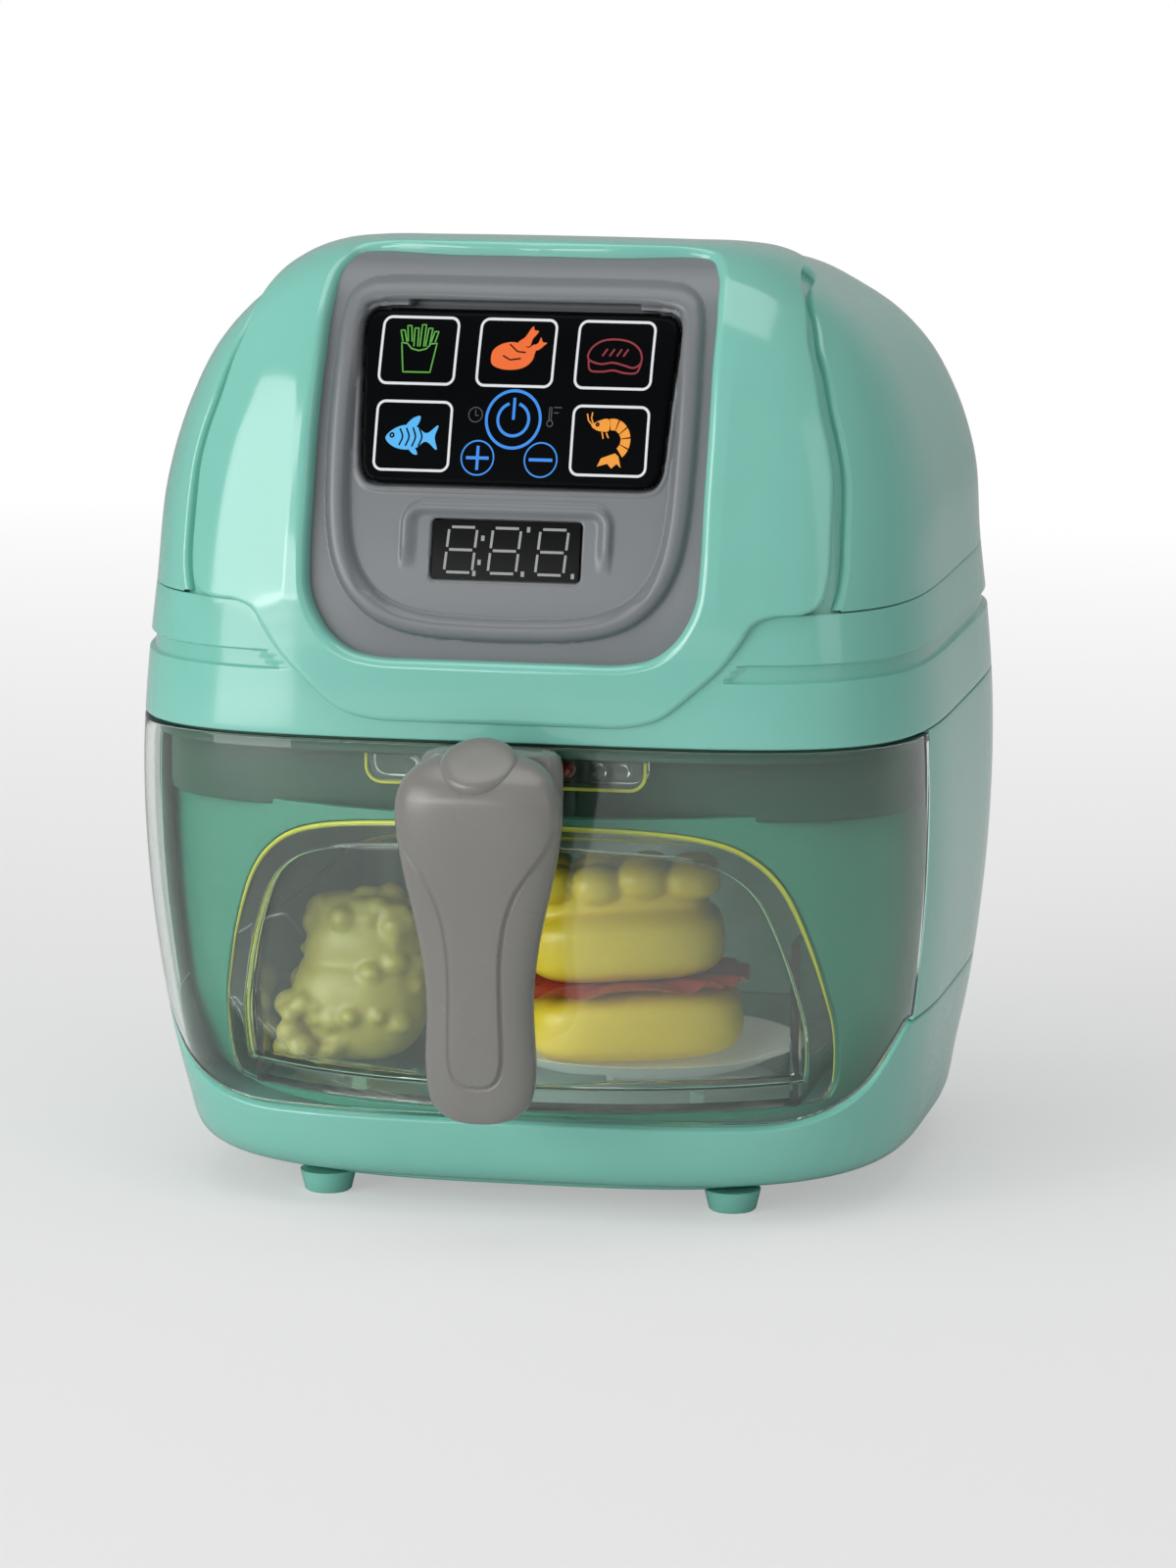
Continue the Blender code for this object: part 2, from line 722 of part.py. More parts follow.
def make_battery_bay():
    """Battery box under the deck with two cells, two contacts, a cover and its screw."""
    x, y = battery_middle()
    room_x, room_y = battery_room()
    low = base_floor_top + gap
    high = deck_height - gap
    bay = box("battery_box", (x - room_x - box_wall, y - room_y - box_wall, low),
              (x + room_x + box_wall, y + room_y + box_wall, high))
    cut(bay, box("_battery_box_inside", (x - room_x, y - room_y, 0), (x + room_x, y + room_y, high - box_wall)))
    paint(bay, BLACK)
    centre_z = low + battery_radius
    for index, side in enumerate((-1, 1)):
        cell_y = y + side * battery_spacing / 2
        cell = rod(f"battery_{index + 1}", battery_radius - gap, (x - battery_length / 2, cell_y, centre_z),
                   (x + battery_length / 2, cell_y, centre_z))
        paint(cell, CELL)
    for name, side in (("battery_contact_left", -1), ("battery_contact_right", 1)):
        outer = x + side * (room_x - gap)
        inner = outer - side * contact_thickness
        contact = box(name, (min(outer, inner), y - battery_spacing / 2 - battery_radius / 2, centre_z
                             - contact_height / 2),
                      (max(outer, inner), y + battery_spacing / 2 + battery_radius / 2, centre_z
                       + contact_height / 2))
        for row in (-1, 1):
            cell_y = y + row * battery_spacing / 2
            tip = x + side * (battery_length / 2 + gap)
            join(contact, rod(f"_{name}_{row}", battery_radius / 2, ((inner + outer) / 2, cell_y, centre_z),
                              (tip, cell_y, centre_z), battery_radius / 4, segments=12))
        paint(contact, STEEL)
    cover = box("battery_cover", (x - room_x + gap, y - room_y + gap, base_bottom),
                (x + room_x + cover_tab - gap, y + room_y - gap, cover_top))
    cut(cover, rod("_cover_screw_hole", screw_radius + gap, (cover_screw_x, y, 0),
                   (cover_screw_x, y, cover_top + overrun), segments=12))
    paint(cover, MINT)
    head_top = base_bottom - gap
    screw = rod("cover_screw", screw_head_radius, (cover_screw_x, y, head_top - screw_head_height),
                (cover_screw_x, y, head_top), segments=16)
    join(screw, rod("_cover_screw_shank", screw_radius, (cover_screw_x, y, head_top - screw_head_height / 2),
                    (cover_screw_x, y, base_bottom + screw_length / 2), segments=12))
    paint(screw, STEEL)


def make_speaker():
    """Round speaker that faces down through the base's holes."""
    x, y = half_width - speaker_side_inset, middle_y + speaker_place_y
    low = base_floor_top + gap
    speaker = rod("speaker", speaker_radius, (x, y, low), (x, y, low + speaker_height / 3))
    join(speaker, rod("_speaker_magnet", speaker_radius / 2, (x, y, low + speaker_height / 6),
                      (x, y, low + speaker_height)))
    paint(speaker, BLACK)


def make_shell():
    """Rear shell: the wall round the drawer space with the arched bulkhead in front."""
    top = shell_top
    low = base_rim_height
    shell = housing("rear_shell", low, top)
    inner = housing("_shell_inside", low - overrun, top + overrun, -shell_wall)
    split = front_y + drawer_split_inset + split_gap
    side = half_width + overrun
    front = box("_shell_front", (-side, front_y - overrun, 0), (side, split, top + overrun))
    below = below_lip("_shell_below", 2 * gap)
    cut(shell, inner, front, below)
    bulkhead = inner_front("_bulkhead", low, bulkhead_top, bulkhead_inset, 0.0)
    behind = inner_front("_bulkhead_inside", low - overrun, bulkhead_top + overrun, bulkhead_inset, -bulkhead_wall)
    far = box("_bulkhead_far", (-side, front_y + bulkhead_back, 0), (side, rear_y + overrun, top + overrun))
    edge = housing("_bulkhead_edge", low - overrun, top, -shell_wall / 2)
    arch = front_solid("_bulkhead_arch", grown(arch_outline(), slide_clearance), front_y - overrun,
                       front_y + bulkhead_back + overrun)
    foot = arch_half_width * arch_width_shares[0] + slide_clearance
    floor = box("_bulkhead_floor", (-foot, front_y - overrun, 0),
                (foot, front_y + bulkhead_back + overrun, tub_bottom + gap))
    cut(keep(bulkhead, edge), behind, far, arch, floor, below_lip("_bulkhead_below", 2 * gap))
    join(shell, bulkhead)
    paint(shell, MINT)


def inner_front(name, low, high, inset, grow):
    """Solid with the rounder plan that the bulkhead and the tub's front share."""
    return housing(name, low, high, inner_front_grow + grow, inset + inner_front_grow, inner_front_power)


def make_ceiling():
    """Ceiling of the drawer space with a skirt, the lamp window and its lamps."""
    fit = -(shell_wall + gap)
    ceiling = housing("ceiling", shell_top - ceiling_thickness, shell_top, min(fit, -(clear_wall + slide_clearance)))
    skirt = housing("_skirt", bulkhead_top + 2 * gap, shell_top - ceiling_thickness / 2, -skirt_inset)
    inner = housing("_skirt_inside", bulkhead_top - overrun, shell_top + overrun, -(skirt_inset + skirt_wall))
    behind = box("_skirt_behind", (-half_width, front_y + drawer_split_inset, 0), (half_width, rear_y, body_height))
    cut(skirt, inner, behind)
    join(ceiling, skirt)
    paint(ceiling, MINT)
    top = shell_top - ceiling_thickness - gap
    bottom = top - lamp_window_height
    back = front_y + skirt_inset - gap
    front = back - lamp_window_depth
    half = lamp_window_width / 2
    corner = lamp_window_height / 2
    outline = [(half, top), (-half, top)] + [
        (side * (half - corner + corner * math.sin(a)), bottom + corner - corner * math.cos(a))
        for side, turns in ((-1, quarter_turns(3)[::-1]), (1, quarter_turns(3))) for a in turns]
    window = front_solid("lamp_window", outline, front, back)
    cut(window, front_solid("_lamp_window_inside", grown(outline, -lamp_window_wall), front + lamp_window_wall,
                            back + overrun))
    paint(window, CLEAR)
    height = (top + bottom) / 2
    for index, share in enumerate(lamp_place_shares):
        x = share * (half - lamp_window_wall - lamp_radius)
        lamp = rod(f"lamp_{index + 1}", lamp_radius, (x, back - lamp_length / 2, height), (x, back - gap, height),
                   segments=14)
        dome = bmesh.new()
        bmesh.ops.create_uvsphere(dome, u_segments=14, v_segments=8, radius=lamp_radius)
        bmesh.ops.transform(dome, matrix=Matrix.Translation((x, back - lamp_length / 2, height))
                            @ Matrix.Rotation(math.radians(90), 4, "X"), verts=dome.verts)
        join(lamp, add_object(f"_lamp_dome_{index}", dome))
        paint(lamp, RED if index == red_lamp else CLEAR)


def make_drawer_front():
    """Clear drawer front that wraps both front corners."""
    front = housing("drawer_front", base_rim_height, drawer_top)
    inner = housing("_drawer_front_inside", base_rim_height - overrun, drawer_top + overrun, -clear_wall)
    behind = box("_drawer_front_behind", (-half_width - overrun, front_y + drawer_split_inset, 0),
                 (half_width + overrun, rear_y + overrun, body_height))
    cut(front, inner, behind, below_lip("_drawer_front_below", groove_height))
    for index, (x, z) in enumerate(neck_screw_places()):
        cut(front, rod(f"_front_screw_hole_{index}", screw_radius + gap, (x, front_y - overrun, z),
                       (x, front_y + overrun, z), segments=12))
    paint(front, CLEAR)


def neck_screw_places():
    """Places of the two screws that hold the handle."""
    height = (neck_bottom + neck_top) / 2
    return [(-neck_screw_spacing / 2, height), (neck_screw_spacing / 2, height)]


def make_tub():
    """Clear tub with a rounded, stepped arch front, open on top."""
    inset = clear_wall + gap
    top = tub_bottom + arch_height
    arch = arch_outline()
    tub = inner_front("drawer_tub", tub_bottom, top + overrun, inset, 0.0)
    arch_block = front_solid("_tub_arch", arch, front_y - overrun, front_y + bulkhead_back)
    step = front_solid("_tub_step", grown(arch, -arch_band), front_y - overrun, front_y + bulkhead_back)
    cut(step, inner_front("_tub_step_face", tub_bottom - overrun, top + overrun, inset, -arch_step))
    hollow = inner_front("_tub_hollow", tub_bottom - overrun, top + overrun, inset, -(arch_step + tub_wall))
    keep(hollow, front_solid("_tub_hollow_arch", grown(arch, -tub_wall), front_y - overrun,
                             front_y + bulkhead_back + overrun))
    rim_back = inner_front("_tub_rim_back", tub_bottom - overrun, top + overrun, inset, -arch_rim_depth)
    cut(keep(tub, arch_block), step, hollow, rim_back)
    tray = top_solid("_tub_tray", tub_plan(0.0), tub_bottom, tub_bottom + tub_wall_height)
    keep(tray, inner_front("_tub_tray_front", tub_bottom - overrun, top + overrun, inset, -(arch_step + tub_wall / 2)))
    inside = top_solid("_tub_inside", tub_plan(tub_wall), tub_bottom + tub_wall,
                       tub_bottom + tub_wall_height + tub_wall)
    keep(inside, inner_front("_tub_inside_front", tub_bottom - overrun, top + overrun, inset,
                             -(arch_step + tub_wall)))
    join(tub, tray)
    cut(tub, inside)
    paint(tub, CLEAR)


def tub_plan(wall):
    """Plan outline of the tub with rounded back corners, shrunk by a wall."""
    half = tub_half_width - wall
    back = front_y + tub_back_inset - wall
    radius = tub_corner - wall
    right = [(half, front_y - overrun)] + [(half - radius + radius * math.cos(a), back - radius + radius * math.sin(a))
                                           for a in quarter_turns(4)]
    return right + [(-x, y) for x, y in reversed(right)]


def make_handle():
    """Handle grip with its raised tongue and thumb boss, the neck and two screws."""
    grip = grip_solid("handle_grip", 0.0)
    tongue = grip_solid("_tongue", tongue_raise)
    outline = shared_outline(tongue_half_width, tongue_width_shares, handle_bottom, handle_height,
                             tongue_height_shares)
    keep(tongue, front_solid("_tongue_outline", outline, front_y - handle_reach - overrun,
                             front_y - handle_reach + handle_thickness / 2))
    thumb = bmesh.new()
    bmesh.ops.create_uvsphere(thumb, u_segments=24, v_segments=12, radius=1.0)
    size = Matrix.Diagonal((thumb_radius, thumb_radius, thumb_height, 1.0))
    place = Matrix.Translation((0, front_y - handle_reach + thumb_inset, handle_bottom + handle_height - thumb_drop))
    bmesh.ops.transform(thumb, matrix=place @ Matrix.Rotation(thumb_tilt, 4, "X") @ size, verts=thumb.verts)
    join(grip, tongue, add_object("_thumb", thumb))
    paint(grip, GREY)
    make_neck()


def grip_solid(name, raised):
    """Solid of the grip, with its front face raised by an amount."""
    rings = []
    front_line = front_y - handle_reach + tongue_raise
    for height, width, front, back in handle_section_shares:
        near = front_line + front * handle_thickness - raised
        far = front_line + back * handle_thickness
        half = width * handle_half_width
        centre = (near + far) / 2
        z = handle_bottom + height * handle_height
        rings.append([Vector((x, centre + y, z))
                      for x, y in oval(half, (far - near) / 2, handle_power, handle_points)])
    return ring_solid(name, rings)


def make_neck():
    """Neck between the drawer front and the grip, and the screws through the front."""
    near = front_y - handle_reach + tongue_raise + neck_seat_share * handle_thickness + gap
    far = front_y - gap
    rings = [[Vector((x, (near + far) / 2 + y, neck_bottom + (neck_top - neck_bottom) * level)) for x, y in
              oval(neck_half_width * share, (far - near) / 2, neck_power, handle_points)]
             for level, share in neck_section_shares]
    neck = ring_solid("handle_neck", rings)
    head_near = front_y + clear_wall + gap + slide_clearance
    for index, (x, z) in enumerate(neck_screw_places()):
        end = (near + far) / 2
        cut(neck, rod(f"_neck_hole_{index}", screw_radius + gap, (x, end - gap, z), (x, front_y + overrun, z),
                      segments=12))
        screw = rod(f"handle_screw_{index + 1}", screw_head_radius, (x, head_near, z),
                    (x, head_near + screw_head_height, z), segments=16)
        join(screw, rod(f"_handle_screw_shank_{index}", screw_radius, (x, end, z),
                        (x, head_near + screw_head_height / 2, z), segments=12))
        paint(screw, STEEL)
    paint(neck, GREY)


def make_collar():
    """Collar band over the drawer with its side grooves and the power switch."""
    collar = housing("collar", collar_bottom, collar_top)
    inner = housing("_collar_inside", collar_bottom - overrun, collar_top + overrun, -collar_wall)
    cut(collar, inner, window_column("_collar_window", lip_wall + slide_clearance, plate_room))
    low = collar_groove_height - collar_groove_width / 2
    high = collar_groove_height + collar_groove_width / 2
    groove = housing("_groove", low, high, overrun)
    middle = box("_groove_middle", (-collar_groove_start, front_y - 2 * overrun, 0),
                 (collar_groove_start, middle_y, body_height))
    cut(groove, housing("_groove_floor", low - overrun, high + overrun, -collar_groove_depth), middle)
    cut(collar, groove)
    half = (power_travel + power_knob_width) / 2 + gap
    slot_half_height = power_knob_height / 2 + gap
    cut(collar, box("_power_slot", (-half, rear_y - collar_wall - overrun, power_slot_height - slot_half_height),
                    (half, rear_y + overrun, power_slot_height + slot_half_height)))
    paint(collar, MINT)
    rear = front_y + body_depth - section_at(power_slot_height)[2]
    knob_x = -power_travel / 2
    knob = box("power_knob", (knob_x - power_knob_width / 2, rear - collar_wall, power_slot_height
                              - power_knob_height / 2),
               (knob_x + power_knob_width / 2, rear + power_knob_reach, power_slot_height + power_knob_height / 2))
    paint(knob, BLACK)
    body = box("power_switch", (-half - power_box_margin, rear - collar_wall - gap - power_box_depth,
                                power_slot_height - power_box_height / 2),
               (half + power_box_margin, rear - collar_wall - gap, power_slot_height + power_box_height / 2))
    paint(body, STEEL)


def window_column(name, margin, depth):
    """Passage for the control plate: the window's outline with a margin, sunk to a depth."""
    column = front_solid(name, grown(window_outline(), margin), front_y - 2 * overrun, front_y + hood_back_inset)
    sink = front_slab(name + "_sink", window_bottom - 2 * overrun, body_height + overrun, -2 * overrun, depth,
                      window_half_width + overrun)
    return keep(column, sink)


def make_dome():
    """Dome that closes the housing, with the sunk bed and channel round the hood."""
    dome = housing("dome", dome_bottom, body_height)
    inner = housing("_dome_inside", dome_bottom - overrun, body_height, -dome_wall)
    bed = front_solid("_bed", grown(hood_outline(), channel_width), front_y - 2 * overrun,
                      front_y + hood_back_inset + channel_width)
    cut(bed, housing("_bed_floor", dome_bottom - overrun, body_height, -hood_bed))
    cut(dome, inner, bed, window_column("_dome_window", lip_wall + slide_clearance, plate_room))
    paint(dome, MINT)


def make_hood():
    """Hood: the raised frame of two pillars, top bar and chin round the control plate."""
    hood = housing("hood", hood_bottom - overrun, body_height, hood_raise)
    keep(hood, front_solid("_hood_outline", hood_outline(), front_y - 2 * overrun, front_y + hood_back_inset))
    chin = housing("_chin", hood_bottom - chin_drop - overrun, hood_bottom + overrun, chin_raise)
    outline = shared_outline(chin_half_width, chin_width_shares, hood_bottom - chin_drop, chin_drop,
                             chin_height_shares)
    keep(chin, front_solid("_chin_outline", outline, front_y - 2 * overrun, front_y + 4 * overrun))
    join(hood, chin)
    under = housing("_hood_under", dome_bottom, body_height, gap - hood_bed)
    below = housing("_chin_under", hood_bottom - chin_drop - 2 * overrun, dome_bottom + gap, gap)
    lip = keep(window_column("_hood_lip", lip_wall, lip_depth),
               housing("_lip_face", hood_bottom - chin_drop, body_height, chin_raise / 2))
    cut(join(cut(hood, under, below), lip), window_column("_hood_window", 0.0, plate_room))
    paint(hood, MINT)


def make_plate():
    """Control plate with its raised bezel, hooked ridge, openings and board posts."""
    far = lip_depth + gap + plate_flange / 2
    low, high = window_bottom - overrun, body_height
    half = window_half_width + overrun
    plate = front_slab("control_plate", low, high, plate_recess, far, half)
    keep(plate, front_solid("_plate_outline", grown(window_outline(), -gap), front_y - overrun,
                            front_y + hood_back_inset))
    bezel = front_slab("_bezel", low, high, plate_recess - bezel_raise, lip_depth, half)
    outline = shared_outline(bezel_half_width, bezel_width_shares, bezel_bottom, bezel_height, bezel_height_shares)
    keep(bezel, front_solid("_bezel_outline", outline, front_y - overrun, front_y + hood_back_inset))
    cut(bezel, front_solid("_bezel_field", grown(outline, -bezel_band), front_y - overrun, front_y + hood_back_inset))
    flange = front_slab("_plate_flange", low, window_bottom + window_height - flange_drop, lip_depth + gap,
                        lip_depth + gap + plate_flange, half)
    keep(flange, front_solid("_plate_flange_outline", grown(window_outline(), lip_wall), front_y - overrun,
                             front_y + hood_back_inset))
    ridge = front_slab("_ridge", ridge_top - ridge_drop - overrun, ridge_top + overrun, plate_recess - ridge_raise,
                       (plate_recess + lip_depth) / 2, half)
    keep(ridge, front_solid("_ridge_outline", ridge_outline(), front_y - overrun, front_y + hood_back_inset))
    join(plate, bezel, flange, ridge)
    key_hole = front_solid("_key_hole", grown(press_outline(), press_edge), front_y - overrun,
                           front_y + hood_back_inset)
    slot_low = press_bottom + press_height - overrun
    slot = box("_key_slot", (-key_slot_half_width, front_y - overrun, slot_low),
               (key_slot_half_width, front_y + hood_back_inset, press_bottom + press_height + key_slot_height))
    display_hole = box("_display_hole", (-display_half_width - gap, front_y - overrun, display_bottom - gap),
                       (display_half_width + gap, front_y + hood_back_inset, display_bottom + display_height + gap))
    cut(plate, key_hole, slot, display_hole)
    for x, z, label in post_places():
        join(plate, rod(f"_post_{label}", post_radius, (x, front_y + front_inset(z) + lip_depth + plate_flange, z),
                        (x, board_face(z - post_radius) - gap, z), segments=12))
    paint(plate, GREY)
    make_display()


def ridge_outline():
    """Outline of the ridge that hooks over the display, open below."""
    def hook(half, top, radius):
        return [(half - radius + radius * math.cos(a), top - radius + radius * math.sin(a))
                for a in quarter_turns(3)]
    bottom = ridge_top - ridge_drop
    outer = [(ridge_half_width, bottom)] + hook(ridge_half_width, ridge_top, ridge_corner)
    inner = [(ridge_half_width - ridge_width, bottom)] + hook(ridge_half_width - ridge_width,
                                                              ridge_top - ridge_width, ridge_corner - ridge_width)
    left_outer = [(-x, z) for x, z in reversed(outer)]
    left_inner = [(-x, z) for x, z in inner]
    return outer + left_outer + left_inner + list(reversed(inner))


def board_slope():
    """Slope of the board in the side view: depth gained for each unit of height."""
    return (front_inset(board_top) - front_inset(board_bottom)) / (board_top - board_bottom)


def board_face(height):
    """Depth of the board's front face at a height."""
    return front_y + front_inset(board_bottom) + board_standoff + board_slope() * (height - board_bottom)


def post_places():
    """Places of the four posts that carry the board."""
    low = board_bottom + 2 * post_radius
    high = board_top - 2 * post_radius
    return [(side * post_spacing / 2, z, f"{side}_{level}") for side in (-1, 1) for level, z in
            (("low", low), ("high", high))]


def make_display():
    """Display window in the plate, its digit block, the main board and the key switch."""
    window = front_slab("display_window", display_bottom, display_bottom + display_height, plate_recess + gap,
                        plate_recess + gap + display_thickness, display_half_width)
    paint(window, BLACK)
    board = side_solid("main_board", [
        (board_face(board_bottom), board_bottom), (board_face(board_bottom) + board_thickness, board_bottom),
        (board_face(board_top) + board_thickness, board_top), (board_face(board_top), board_top)], board_half_width)
    paint(board, BOARD)
    low, high = display_bottom + gap, display_bottom + display_height - gap
    front = [(board_face(z) - gap - display_block_depth, z) for z in (low, high)]
    back = [(board_face(z) - gap, z) for z in (high, low)]
    block = side_solid("digit_block", front + back, display_half_width - gap)
    paint(block, WHITE)
    middle = press_bottom + press_height / 2
    half = key_switch_size / 2
    faces = [(board_face(z) - gap, z) for z in (middle + half, middle - half)]
    fronts = [(board_face(z) - gap - key_switch_height, z) for z in (middle - half, middle + half)]
    switch = side_solid("key_switch", fronts + faces, half)
    button = board_face(middle) - gap - key_switch_height
    join(switch, rod("_switch_button", press_stem_radius, (0, button - key_switch_button, middle),
                     (0, button + key_switch_height / 2, middle), segments=16))
    paint(switch, BLACK)


def make_press_plate():
    """Printed plate that is pushed in: a shallow cap with a flange and a stem."""
    low, high = press_bottom - overrun, press_bottom + press_height + overrun
    half = press_half_width + overrun
    near = plate_recess - gap
    plate_back = lip_depth + gap + plate_flange
    far = plate_back + gap + press_flange
    press = front_slab("press_plate", low, high, near, far, half)
    keep(press, front_solid("_press_outline", press_outline(), front_y - overrun, front_y + hood_back_inset))
    flange = front_slab("_press_flange", low, high, plate_back + gap, far, half)
    keep(flange, front_solid("_press_flange_outline", grown(press_outline(), press_flange), front_y - overrun,
                             front_y + hood_back_inset))
    join(press, flange)
    hollow = front_slab("_press_hollow", low, high, near + press_thickness, far + overrun, half)
    keep(hollow, front_solid("_press_hollow_outline", grown(press_outline(), -press_thickness), front_y - overrun,
                             front_y + hood_back_inset))
    cut(press, hollow)
    middle = press_bottom + press_height / 2
    tip = board_face(middle) - gap - key_switch_height - key_switch_button - gap - press_travel
    join(press, rod("_press_stem", press_stem_radius, (0, front_y + front_inset(middle) + near + press_thickness / 2,
                                                       middle), (0, tip, middle), segments=16))
    paint(press, BLACK)


def food_rings(rows, half_x, half_y, centre, low, height, waves, wave_share, count, lean=0.0):
    """Rings of a soft play food: an oval whose edge waves in and out."""
    rings = []
    for level, size in rows:
        ring = []
        for step in range(count):
            a = math.tau * step / count
            swell = size * (1 + wave_share * math.cos(waves * a + level * math.tau))
            x = centre[0] + half_x * swell * signed_power(math.cos(a), food_edge_power) + lean * (level - 0.5)
            y = centre[1] + half_y * swell * signed_power(math.sin(a), food_edge_power)
            ring.append(Vector((x, y, low + height * level)))
        rings.append(ring)
    return rings


def make_food():
    """Dish, filled bread and crisps that lie in the drawer."""
    floor = tub_bottom + tub_wall + gap
    centre = (dish_place_x, front_y + dish_inset)
    rings = [[Vector((centre[0] + x, centre[1] + y, floor + dish_height * level)) for x, y in
              oval(dish_half_width * size, dish_half_depth * size, round_power, dish_points)]
             for level, size in dish_section_shares]
    paint(ring_solid("food_dish", rings), WHITE)
    low = floor + dish_height * dish_section_shares[-1][0] + gap
    slab = food_rings(bread_crust_shares, bread_half_length, bread_half_depth, centre, low + dish_height / 2,
                      bread_lower_height, bread_wave_count, bread_wave_share, bread_points)
    foot = [Vector((centre[0] + x, centre[1] + y, low)) for x, y in
            oval(dish_half_width / 2, dish_half_depth / 2, round_power, bread_points)]
    paint(ring_solid("bread_lower", [foot] + slab), BREAD)
    low += dish_height / 2 + bread_lower_height + gap
    filling = [[Vector((centre[0] + x, centre[1] + y, z)) for x, y in
                oval(filling_half_length, filling_half_depth, filling_power, bread_points)]
               for z in (low, low + filling_thickness)]
    paint(ring_solid("bread_filling", filling), RED)
    low += filling_thickness + gap
    slab = food_rings(bread_crust_shares, bread_half_length, bread_half_depth, centre, low, bread_upper_height,
                      bread_wave_count, bread_wave_share, bread_points)
    paint(ring_solid("bread_upper", slab), BREAD)
    crisps = food_rings(crisps_section_shares, crisps_half_width, crisps_half_depth,
                        (crisps_place_x, front_y + crisps_inset), floor, crisps_height, crisps_wave_count,
                        crisps_wave_share, bread_points, crisps_lean)
    paint(ring_solid("food_crisps", crisps), CRISP)


PARTS, CUTTERS = start_collections()
make_base()
make_shell()
make_ceiling()
make_drawer_front()
make_tub()
make_handle()
make_collar()
make_dome()
make_hood()
make_plate()
make_press_plate()
make_food()
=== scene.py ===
"""Looks of a toy air fryer: moulded mint shells, a grey control panel and a clear drawer.

Every shell follows one smooth housing form, the same sections that the solids are lofted through,
so a seam, a rolled edge or a raised hood is a curve on that form with a wall of real thickness.
Lengths are in metres, +Z is up and the handle looks toward -Y.
"""
from __future__ import annotations

import json
import logging
import math
import random
from dataclasses import dataclass, field
from enum import Enum
from typing import Callable, Optional, Sequence

import bmesh
import bpy
import numpy as np
from mathutils import Matrix, Vector


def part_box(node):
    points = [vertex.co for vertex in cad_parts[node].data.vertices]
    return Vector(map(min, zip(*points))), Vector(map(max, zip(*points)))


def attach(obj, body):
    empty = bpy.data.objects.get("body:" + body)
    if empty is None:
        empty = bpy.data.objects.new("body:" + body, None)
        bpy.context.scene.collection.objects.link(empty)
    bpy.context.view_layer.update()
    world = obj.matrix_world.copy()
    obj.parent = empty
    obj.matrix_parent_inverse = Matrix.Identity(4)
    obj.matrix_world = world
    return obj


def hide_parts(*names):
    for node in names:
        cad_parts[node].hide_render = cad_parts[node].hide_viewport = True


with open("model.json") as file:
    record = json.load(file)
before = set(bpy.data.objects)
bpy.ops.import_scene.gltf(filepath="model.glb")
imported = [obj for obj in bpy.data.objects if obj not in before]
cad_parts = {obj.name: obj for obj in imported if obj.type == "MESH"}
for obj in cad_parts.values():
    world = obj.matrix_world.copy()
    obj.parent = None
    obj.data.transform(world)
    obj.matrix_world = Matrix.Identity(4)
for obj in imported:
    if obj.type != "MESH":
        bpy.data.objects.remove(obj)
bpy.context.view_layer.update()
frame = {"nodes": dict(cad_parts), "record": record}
LOG = logging.getLogger("toy_air_fryer")

MM = 0.001
QUARTER = math.pi / 2
NEARLY_ZERO = 1e-12
MERGE = 0.002 * MM
SHARP_DEGREES = 40.0

Array = np.ndarray
Piece = bpy.types.Object
Tree = bpy.types.NodeTree
Socket = bpy.types.NodeSocket
Pair = tuple[float, float]
Line = list[Pair]
Faces = list[Sequence[int]]
Track = tuple[Array, Array]
Relief = Callable[[Array, Array], Array]


class Body(Enum):
    """The bodies that pieces ride on."""

    HOUSING = "housing"
    DRAWER = "drawer"
    PRESS = "press_plate"


class Slot(Enum):
    """The record's material slots."""

    MINT = "mint_plastic"
    GREY = "grey_plastic"
    BLACK = "black_plastic"
    CLEAR = "clear_plastic"
    RED = "red_plastic"
    WHITE = "white_plastic"
    BREAD = "bread_plastic"
    CRISP = "crisp_plastic"
    BOARD = "circuit_board"
    STEEL = "steel"
    CELL = "battery_sleeve"


def linear(code: str) -> tuple[float, float, float, float]:
    """Turn an sRGB hex colour into linear RGBA."""
    channels = [int(code[i:i + 2], 16) / 255 for i in (0, 2, 4)]
    toned = [c / 12.92 if c <= 0.04045 else ((c + 0.055) / 1.055) ** 2.4 for c in channels]
    return (*toned, 1.0)


def empty_tree(owner: bpy.types.Material | bpy.types.World) -> Tree:
    """Give a material or a world an empty node tree."""
    owner.use_nodes = True
    owner.node_tree.nodes.clear()
    return owner.node_tree


def add_node(tree: Tree, kind: str, settings: Optional[dict] = None,
             links: Optional[dict] = None) -> bpy.types.Node:
    """Add a shader node, set its sockets and attributes, and link the sockets that feed it."""
    node = tree.nodes.new("ShaderNode" + kind)
    for key, value in (settings or {}).items():
        if isinstance(key, int) or key in node.inputs:
            node.inputs[key].default_value = value
        else:
            setattr(node, key, value)
    for key, socket in (links or {}).items():
        tree.links.new(socket, node.inputs[key])
    return node


def add_noise(tree: Tree, place: Socket, size_mm: float, detail: float) -> Socket:
    """Add noise with features of a size in millimetres."""
    settings = {"Scale": 1 / (size_mm * MM), "Detail": detail}
    return add_node(tree, "TexNoise", settings, {"Vector": place}).outputs["Fac"]


def seen_directly(tree: Tree) -> Socket:
    """Give 1 to what the camera sees, also through clear plastic, and 0 to all other light."""
    path = add_node(tree, "LightPath").outputs
    return add_node(tree, "Math", {"operation": "MAXIMUM"},
                    {0: path["Is Camera Ray"], 1: path["Is Transmission Ray"]}).outputs["Value"]


